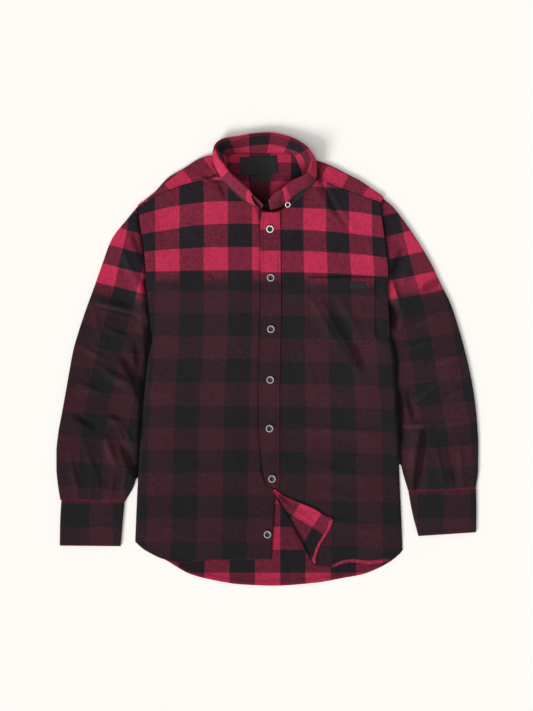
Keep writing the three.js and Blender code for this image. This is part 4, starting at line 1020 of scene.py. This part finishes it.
def build_yoke():
    neck_columns, side_columns = 60, 56
    lower_rows, upper_rows = 24, 20
    turns = np.radians(np.linspace(0, 180, 13))
    radius = FRONT_TOP / 2
    rows = lower_rows + len(turns) - 1 + upper_rows
    back_neck = curve(BACK_NECK, "x", "y")
    sides = {
        "right": (RIGHT_SHOULDER, RIGHT_TOP, right_edge), "left": (LEFT_SHOULDER, LEFT_TOP, left_edge),
    }

    def side_column(name, f):
        shoulder, top, edge = sides[name]
        neck = YOKE_NECK[name]
        tip = shoulder["ridge"][-1]
        nominal = lerp(neck, edge(tip - radius), f)
        ridge = curve(shoulder, "x", "ridge")(nominal)
        seam_curve = curve(top, "x", "y")
        seam_x = neck * 1.06 if f == 0 else lerp(neck, edge(seam_curve(nominal)), f)
        seam = seam_curve(seam_x) + YOKE_SEAM_GAP * (3 if f == 0 else 1)
        arc = ridge - radius
        start = float(back_neck(neck)) if f == 0 else lerp(back_neck(neck), arc, 0.9)
        reach = start if f == 0 else min(start, arc - 1)
        y = np.concatenate([
            np.linspace(BACK_YOKE_Y, reach, lower_rows + 1)[:-1],
            arc + radius * np.sin(turns),
            np.linspace(arc, min(seam, arc - 0.5), upper_rows + 1)[1:],
        ])
        z = np.concatenate([
            np.zeros(lower_rows), radius - radius * np.cos(turns), np.full(upper_rows, FRONT_TOP),
        ])
        inward = -GAP if neck > 0 else GAP
        x = np.full(rows + 1, float(neck)) if f == 0 else lerp(neck, edge(y) + inward, f)
        z = z + np.where(z >= FRONT_TOP - 1e-6, ridges(x, y, FOLDS) * 0.5 + 0.25 * unrest(x, y, 18, 61), 0)
        return np.stack([x, y, z], -1)

    columns = [side_column("left", f) for f in np.linspace(1, 0, side_columns + 1)]
    for k in range(1, neck_columns):
        x = lerp(YOKE_NECK["left"], YOKE_NECK["right"], k / neck_columns)
        y = lerp(BACK_YOKE_Y, back_neck(x), np.minimum(np.arange(rows + 1) / lower_rows, 1))
        columns.append(np.stack([np.full(rows + 1, x), y, np.zeros(rows + 1)], -1))
    columns += [side_column("right", f) for f in np.linspace(0, 1, side_columns + 1)]
    keep = np.ones((len(columns) - 1, rows), bool)
    keep[side_columns:side_columns + neck_columns, lower_rows:] = False
    cloth = Cloth(columns, keep=keep)
    x, y, z = np.moveaxis(cloth.points, 2, 0)

    def slanted(origin, along, square, down):
        """Squares of a shoulder from a corner of the check, the ways along and down, and their side"""
        away_x, away_y = x - origin[0], y - origin[1]
        return (
            (away_x * along[0] + away_y * along[1]) / math.hypot(*along) / square + 1,
            (away_x * down[0] + away_y * down[1]) / square + 1,
        )

    right = slanted((-151.7, 340.7), (-32.8, -25.2), 41.3, (0.61, -0.793))
    left = slanted((109.1, 348.7), (36.5, -17.6), 40.6, (-0.435, -0.9))
    flat = (x + 32.2) / 37.5, (354.1 - y) / 34 + 2
    on_left, on_right = x > YOKE_NECK["left"] - 1e-6, x < YOKE_NECK["right"] + 1e-6
    check = [np.where(on_left, a, np.where(on_right, b, c)) for a, b, c in zip(left, right, flat)]
    outer = z > 3
    cloth_piece(
        "yoke", cloth, check, 0.0, worn=0.15 * rub(edge_distance(cloth.points, "last_j"), 1.2) * outer,
        # Painted shade in the fold troughs and painted highlight on the crests of the outer face; painted shade
        # on the inner face, deepening towards the neck opening
        dye_and_painted_shade=0.35 + outer * painted_crease_shade(x, y, 1.6), inner_dye_and_painted_shade=0.5 + 2.5 * smooth((336 - y) / 52),
    )


def tube_ring(top_steps, bottom_steps, arc_steps):
    """Ring round a flattened tube: place across, distance out past the bend's centre, height, crown"""
    ring = [(t, 0.0, 2 * TUBE_RADIUS, math.sin(math.pi * t), True) for t in np.linspace(0, 1, top_steps + 1)]
    arc = np.linspace(0, math.pi, arc_steps + 2)[1:-1]
    bend = [(TUBE_RADIUS * math.sin(a), TUBE_RADIUS + TUBE_RADIUS * math.cos(a)) for a in arc]
    ring += [(1.0, out, z, 0.0, False) for out, z in bend]
    ring += [(1 - t, 0.0, 0.0, 0.0, False) for t in np.linspace(0, 1, bottom_steps + 1)]
    ring += [(0.0, out, z, 0.0, False) for out, z in bend[::-1]]
    return ring


def build_tube(sections, rows, side, edge=None, crown=TUBE_CROWN, detail=relief, top_steps=64):
    ring = tube_ring(top_steps, 24, 7)
    index = np.arange(len(sections["outerX"]), dtype=float)
    numbered = {**sections, "k": index}
    at = np.linspace(0, index[-1], rows + 1)
    outer_x, outer_y, inner_x, inner_y = (curve(numbered, "k", key)(at) for key in sections)
    width = np.hypot(inner_x - outer_x, inner_y - outer_y)
    bow = np.interp(at, range(len(ARMHOLE_BOW)), ARMHOLE_BOW) if edge else 0 * at
    first = [sections[key][0] for key in sections]
    grid = []
    for t, out, z, dome, is_top in ring:
        if out:
            away = TUBE_RADIUS - out if t == 0 else width - TUBE_RADIUS + out
        else:
            away = lerp(TUBE_RADIUS, width - TUBE_RADIUS, t)
        s = away / width
        x, y = lerp(outer_x, inner_x, s), lerp(outer_y, inner_y, s)
        if edge:
            beside = edge(inner_y) + side * np.where(inner_y > UNDERARM_Y, ARMHOLE_GAP, UNDERARM_TUCK)
            close = np.abs(inner_x - edge(inner_y)) < 3.2
            x = x + np.where(close, beside - inner_x, 0) * smooth((s - 0.7) / 0.3)
            start_y = lerp(first[1], first[3], s)
            x = x + (edge(start_y) + side * ARMHOLE_GAP - lerp(first[0], first[2], s)) * bow
        lift = crown * dome + detail(x, y) * min(1, dome * 2) if is_top else 0 * x
        grid.append(np.stack([x, y, z + lift], -1))
    grid = grid if side > 0 else grid[::-1]
    return Cloth(np.array(grid), wrap=True)


def gathers(x, y, end_y):
    """Small pleats where a sleeve is set into its cuff"""
    near = np.exp(-np.maximum(y - end_y, 0) / 16)
    return near * (0.9 * np.sin(x / 3.1 + 0.6 * unrest(x, y, 20, 71)) * (0.5 + 0.5 * unrest(x, 0 * x, 14, 72)))


def armhole_pull(x, y, edge):
    """Short creases that run out of the armhole seam, and the sleeve's dip beside the body"""
    away = np.abs(x - edge(y))
    return 0.8 * unrest(0 * x, y, 11, 81) * np.exp(-(away / 14) ** 2) - 1.9 * np.exp(-(away / 5) ** 2)


def painted_seam_shade(x, y, edge):
    """Painted shade beside the body where the sleeve meets it, uneven along its length"""
    away = np.abs(x - edge(y))
    near = (2.8 + 0.6 * unrest(0 * x, y, 26, 83)) * np.exp(-(away / 5.5) ** 2)
    return near + 0.8 * np.exp(-(away / 15) ** 2)


def build_sleeve(key, sections, side, edge, spine, end_y, depth, late):
    def detail(x, y):
        drawn = SLEEVE_GAIN * relief(x, y) + gathers(x, y, end_y) + armhole_pull(x, y, edge)
        return np.maximum(drawn, DEEPEST)

    cloth = build_tube(sections, 190, side, edge, detail=detail)
    x, y = cloth.points[..., 0], cloth.points[..., 1]
    u, v = sleeve_check(spine)(x, y)
    near_body = smooth(1 - np.abs(x - edge(y)) / 50)
    dye = np.interp(v - late, DYE_SLEEVE, (0, 1))
    end, start = edge_distance(cloth.points, "last_j"), edge_distance(cloth.points, "first_j")
    cloth_piece(
        key, cloth, (u, v), dye, worn=np.maximum(0.4 * rub(end, 1.8), 0.12 * rub(start, 1.5)),
        # Darker where dyed, partly deeper dye and partly painted fold shade, less near the body; painted shade
        # along the seam and in the troughs, painted highlight on the crests
        dye_and_painted_shade=depth * dye * (1 - 0.7 * near_body) + painted_seam_shade(x, y, edge) + painted_crease_shade(x, y, SLEEVE_GAIN),
    )


def build_cuff(key, sections, side, columns, row):
    def detail(x, y):
        return 0.25 * unrest(x, y, 16, 91) + 0.1 * unrest(x, y, 6, 92)

    cloth = build_tube(sections, 60, side, crown=0.3, detail=detail, top_steps=56)
    x, y = cloth.points[..., 0], cloth.points[..., 1]
    check = np.interp(x, *columns), (row - y) / CUFF_SQUARE
    both = edge_distance(cloth.points, "first_j", "last_j")
    cloth_piece(key, cloth, check, 1.0, worn=0.6 * rub(both, 1.3), dye_and_painted_shade=0.45)


# Collar

def pick(rows, name, at):
    """Places of the seam, the fold or the edge at stations of the collar's table"""
    return np.stack([curve(rows, "k", name + axis)(at) for axis in "XYZ"], -1)


def collar_frame(first, last):
    """Stations between two rows of the table, with seam, fold, and the ways up and outwards there"""
    at = np.linspace(first, last, (last - first) * COLLAR_STEPS + 1)
    seam, fold = pick(COLLAR, "seam", at), pick(COLLAR, "fold", at)

    def normed(rows):
        return rows / np.linalg.norm(rows, axis=1, keepdims=True)

    rise = normed(fold - seam)
    return at, seam, fold, rise, normed(np.cross(rise, normed(np.gradient(fold, axis=0))))


def collar_arc(fold):
    """Length along the crest, measured from the back of the neck"""
    run = np.concatenate([[0], np.cumsum(np.linalg.norm(np.diff(fold, axis=0), axis=1))])
    at_back = fold[:, 1] > COLLAR_BACK_Y
    return (run - np.interp(COLLAR_MIDDLE_X, fold[at_back, 0], run[at_back]))[:, None]


def collar_column(arc):
    """Number of the column of squares at a length along the crest, the same on both sides of its middle"""
    number = np.interp(np.abs(arc), COLLAR_SQUARES["arc"], COLLAR_SQUARES["number"])
    return np.where(arc < 0, 1 - number, number)


def build_stand():
    _, seam, fold, rise, _ = collar_frame(0, len(COLLAR["k"]) - 1)
    top = fold - rise * FOLD_ROLL
    t = np.linspace(0, 1, 15)
    cloth = Cloth(lerp(seam[:, None], top[:, None], t[None, :, None]))
    arc = collar_arc(fold)
    below = np.linalg.norm(top - seam, axis=1)[:, None] * (1 - t)[None, :]
    v = np.where(np.abs(arc) > TAB_ARC, 2.5, np.clip(2 + (below - 1.5) / 17, 1.5, 3.8))
    ends = edge_distance(cloth.points, "first_i", "last_i")
    cloth_piece(
        "collar_stand", cloth, (collar_column(arc), v), 0.0, worn=0.9 * rub(ends, 1.6),
        # Painted shade towards the stand's seam, on its sides away from the back of the neck
        dye_and_painted_shade=0.3 + 1.2 * smooth(below / 40) * smooth((np.abs(arc) - 90) / 60),
    )


def build_fall():
    first, last = TAB_STATIONS, len(COLLAR["k"]) - 1 - TAB_STATIONS
    at, _, fold, rise, outward = collar_frame(first, last)
    leaves = {key: column[first:last + 1] for key, column in COLLAR.items()}
    edge, bulge = pick(leaves, "edge", at), curve(leaves, "k", "bulge")(at)
    top = fold - rise * FOLD_ROLL
    centre = top + rise * 4 * GAP + outward * FOLD_ROLL
    rows = []
    for angle in np.radians(np.linspace(-90, 90, 13)):
        rows.append(centre + outward * FOLD_ROLL * math.sin(angle) + rise * FOLD_ROLL * 0.8 * math.cos(angle))
    start = centre + outward * FOLD_ROLL
    for t in np.linspace(0, 1, 31)[1:]:
        rows.append(lerp(start, edge, t) + outward * (bulge * math.sin(math.pi * t))[:, None])
    cloth = Cloth(np.array(rows).swapaxes(0, 1))
    step = np.linalg.norm(np.diff(cloth.points, axis=1), axis=2)
    drop = np.concatenate([np.zeros((len(step), 1)), np.cumsum(step, axis=1)], axis=1)
    rim = edge_distance(cloth.points, "first_i", "last_i", "last_j")
    cloth_piece(
        "collar_fall", cloth, (collar_column(collar_arc(fold)), 1.02 + drop / 33), 0.0,
        worn=np.maximum(0.45 * rub(rim, 1.4), 0.3 * rub(drop - 4.5, 2.2)),
    )


# Labels and buttons

def build_label(node, place):
    """Woven label: a soft-cornered tape that sags a little between its stitched edges"""
    width, height = place["width"], place["height"]
    u, v = np.linspace(-0.5, 0.5, 60)[:, None], np.linspace(-0.5, 0.5, 34)[None, :]
    x, y = u * width + 0 * v, v * height + 0 * u
    near_side = np.maximum(np.abs(x) - width / 2 + LABEL_CORNER, 0)
    near_end = np.maximum(np.abs(y) - height / 2 + LABEL_CORNER, 0)
    shrink = 1 - 0.25 * np.maximum(near_side + near_end - LABEL_CORNER, 0) / height
    x, y = x * shrink, y * shrink
    edge = np.minimum(width / 2 - np.abs(x), height / 2 - np.abs(y))
    c, s = math.cos(place["turn"]), math.sin(place["turn"])
    across, up = place["x"] + x * c - y * s, place["y"] + x * s + y * c
    base = pocket_height(across, up) if node == "pocket_label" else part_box(node)[0][2] / MM
    z = base + 0.85 - 0.22 * np.exp(-((edge - LABEL_SEAM) / 0.5) ** 2) + 0.12 * unrest(x, y, 9, 101)
    shell, faces = Cloth(np.stack([across, up, z], -1)).shell(0.6)
    sheets[node] = make_object(f"{node}_tape", shell, faces.tolist(), BLACK_TAPE, node)


def button_profile(size):
    """Half section of a button as radius and height, from the middle of its base to the middle of its well"""
    r, t, rim, well = size["radius"], size["thickness"], size["rim"], size["well"]
    crown = [
        (r - rim / 2 + (rim / 2) * math.cos(a), t - rim * 0.42 + rim * 0.42 * math.sin(a))
        for a in np.radians(np.linspace(0, 180, 9))
    ]
    slope = [(r - rim - 0.25, t - well * 0.7), (r - rim - 0.6, t - well)]
    return [(r - 1.2, 0), (r - 0.45, 0.15), (r, 0.8), *crown, *slope]


def build_button(node, size, ring_material, pose):
    """Turned button with a rounded rim, a sunk dark middle, and a cross of thread"""
    profile = button_profile(size)
    sides = BUTTON_SIDES
    angles = np.arange(sides) / sides * 2 * math.pi
    points = [
        (radius * math.cos(a), radius * math.sin(a), height) for radius, height in profile for a in angles
    ]
    faces, materials = [], []
    for k in range(len(profile) - 1):
        for m in range(sides):
            a, b = k * sides + m, k * sides + (m + 1) % sides
            faces.append([a, b, b + sides, a + sides])
            materials.append(1 if k >= len(profile) - 3 else 0)
    top = (len(profile) - 1) * sides
    faces += [list(reversed(range(sides))), list(range(top, top + sides))]
    materials += [0, 1]

    def posed(places):
        return np.array([tuple(pose @ Vector(place)) for place in places])

    piece = make_object(f"{node}_body", posed(points), faces, ring_material, node)
    piece.data.materials.append(WELL_DARK)
    piece.data.polygons.foreach_set("material_index", materials)
    reach, height = size["pitch"], size["thickness"] - size["well"]
    up = np.array(pose.to_3x3() @ Vector((0, 0, 1)))
    strands = [
        posed([(k * reach, k * way * reach, height + rise) for k, rise in THREAD_ARCH]) for way in (1, -1)
    ]
    stitches(
        f"{node}_body_thread", [(line, np.tile(up, (len(line), 1))) for line in strands],
        pitch=2 * reach * 1.2, length=2 * reach * 1.25, radius=0.42, slot="button",
    )


def bar(x, ys, surface, lift):
    """Line up the cloth for dense thread"""
    xs = np.full(len(ys), x)
    return np.stack([xs, ys, surface(xs, ys) + lift], -1), np.tile([0.0, 0, 1], (len(ys), 1))


def buttonhole(name, x, y):
    """Worked slit: two dense bars of thread either side of a dark line"""
    ys = np.linspace(y - 8.5, y + 8.5, 24)
    lines = [bar(x + offset, ys, placket_height, 0.02) for offset in (-0.9, 0.9)]
    stitches(name, lines, pitch=0.85, length=1.7, radius=0.34)


def leaf_at(x, y):
    """Place and normal of the collar leaf's upper face"""
    cloth = cloths["collar_fall"]
    points, normals = cloth.points.reshape(-1, 3), cloth.normals.reshape(-1, 3)
    near = np.hypot(points[:, 0] - x, points[:, 1] - y) + (normals[:, 2] < 0.2) * FAR
    best = np.argsort(near)[:12]
    normal = normals[best].mean(axis=0)
    return points[best].mean(axis=0), normal / np.linalg.norm(normal)


# Build

build_back()
build_right_front()
build_left_front()
build_placket()
build_pocket()
build_yoke()
build_stand()
build_fall()
build_sleeve("sleeve_right", RIGHT_SLEEVE, -1, right_edge, RIGHT_SPINE, -254.0, 0.8, 0.4)
build_sleeve("sleeve_left", LEFT_SLEEVE, 1, left_edge, LEFT_SPINE, -234.0, 0.3, 0.0)
build_cuff("cuff_right", RIGHT_CUFF, -1, RIGHT_CUFF_COLUMNS, -259.9)
build_cuff("cuff_left", LEFT_CUFF, 1, LEFT_CUFF_COLUMNS, -243.7)
for node, place in LABELS.items():
    build_label(node, place)

for k, (x, y, tilt) in enumerate(zip(*FRONT_BUTTONS.values())):
    node, lean = f"button_{k + 1}", math.radians(tilt)
    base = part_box(node)[0][2] / MM + BUTTON["radius"] * math.sin(lean)
    pose = Matrix.Translation((x, y, base)) @ Matrix.Rotation(lean, 4, "Y")
    pose = pose @ Matrix.Rotation(0.4 + 1.3 * k, 4, "Z")
    build_button(node, BUTTON, BUTTON_GREY if k else BUTTON_WHITE, pose)
    if k < PLACKET_BUTTONS:
        buttonhole(f"buttonhole_{k + 1}", x, y)

leaf_place, leaf_up = leaf_at(*COLLAR_BUTTON_PLACE)
leaf_up = Vector(unit(leaf_up + np.array([0, 0, 0.9])))
turn = Vector((0, 0, 1)).rotation_difference(leaf_up).to_matrix().to_4x4()
seat = Vector((*COLLAR_BUTTON_PLACE, float(leaf_place[2]))) + leaf_up * 1.5
build_button("collar_button", COLLAR_BUTTON, BUTTON_WHITE, Matrix.Translation(seat) @ turn)

# Topstitching


def sew(name, key, lines, **style):
    """Stitches on a piece, along lines or along its edges: side, distance, and the part of it from 0 to 1"""
    if isinstance(lines[0][0], str):
        lines = [cloths[key].line(*line) for line in lines]
    threads.setdefault(key, []).append(stitches(name, lines, **style))


def sew_under(name, key, inset, depth):
    """Stitches on the inner face along a piece's lower edge"""
    line, normals = cloths[key].line("first_j", inset)
    sew(name, key, [(line - normals * depth, -normals)], material=RED_THREAD)


sew("placket_stitching", "placket", [("first_i", 5), ("last_i", 4)])
sew("pocket_stitching", "pocket", [
    ("first_i", 1.8), ("last_i", 1.8), ("first_j", 1.8), ("last_j", POCKET["band"]),
])
tack_xs = POCKET["right"] + 2.4, POCKET["left"] - 2.4
sew(
    "pocket_bar_tacks", "pocket", [bar(x, np.linspace(*POCKET_TACK, 12), pocket_height, 0.05) for x in tack_xs],
    pitch=0.8, length=1.6, radius=0.4,
)
sew("hem_stitching_right", "front_right", [("first_j", 7.5)])
sew_under("hem_stitching_back", "back", 7.5, CLOTH + 0.9)
sew("yoke_stitching", "yoke", [("last_j", 2.2, 0, 0.32), ("last_j", 2.2, 0.68, 1)])
for side in ("right", "left"):
    sew(f"cuff_stitching_{side}", f"cuff_{side}", [("first_j", 3), ("last_j", 5)])
sew(
    "collar_stitching", "collar_fall", [("last_j", 5), ("first_i", 5, 0.3, 1), ("last_i", 5, 0.3, 1)],
    material=RED_THREAD,
)
sew_under("stand_stitching", "collar_stand", 2.5, CLOTH)


# Stage, light and camera
CAMERA = {"x": -1.4, "y": 6.8, "height": 3000, "span": 1279.8, "sensor": 36}
FLOOR_HALF = 6
FLOOR_Z = -0.0006
floor_mesh = bpy.data.meshes.new("floor")
floor_corners = [(x * FLOOR_HALF, y * FLOOR_HALF, FLOOR_Z) for x, y in ((-1, -1), (1, -1), (1, 1), (-1, 1))]
floor_mesh.from_pydata(floor_corners, [], [(0, 1, 2, 3)])
floor = bpy.data.objects.new("floor", floor_mesh)
floor_mesh.materials.append(plain("pale_floor", srgb(254, 251, 246), 0.9, 3.0, 0.002, 0.0, 0.0))
bpy.context.scene.collection.objects.link(floor)


def sun(name, strength, azimuth, elevation, angle, colour=(1, 1, 1)):
    lamp = bpy.data.lights.new(name, "SUN")
    lamp.energy, lamp.angle, lamp.color = strength, math.radians(angle), colour
    held = bpy.data.objects.new(name, lamp)
    direction = Vector((
        math.cos(math.radians(elevation)) * math.cos(math.radians(azimuth)),
        math.cos(math.radians(elevation)) * math.sin(math.radians(azimuth)),
        math.sin(math.radians(elevation)),
    ))
    held.rotation_euler = direction.to_track_quat("Z", "Y").to_euler()
    bpy.context.scene.collection.objects.link(held)


sun("low_key", 2.45, 232, 32, 22)
sun("top_fill", 1.0, 225, 72, 60)
world = bpy.data.worlds.new("studio")
world.use_nodes = True
world.node_tree.nodes["Background"].inputs["Color"].default_value = (1, 1, 1, 1)
world.node_tree.nodes["Background"].inputs["Strength"].default_value = 0.29
bpy.context.scene.world = world

camera_data = bpy.data.cameras.new("camera")
camera_data.sensor_width = CAMERA["sensor"]
camera_data.lens = CAMERA["sensor"] * CAMERA["height"] / CAMERA["span"]
camera_data.clip_end = 20
camera = bpy.data.objects.new("camera", camera_data)
camera.location = (CAMERA["x"] * MM, CAMERA["y"] * MM, CAMERA["height"] * MM)
bpy.context.scene.collection.objects.link(camera)
bpy.context.scene.camera = camera
bpy.context.scene.view_settings.view_transform = "Standard"
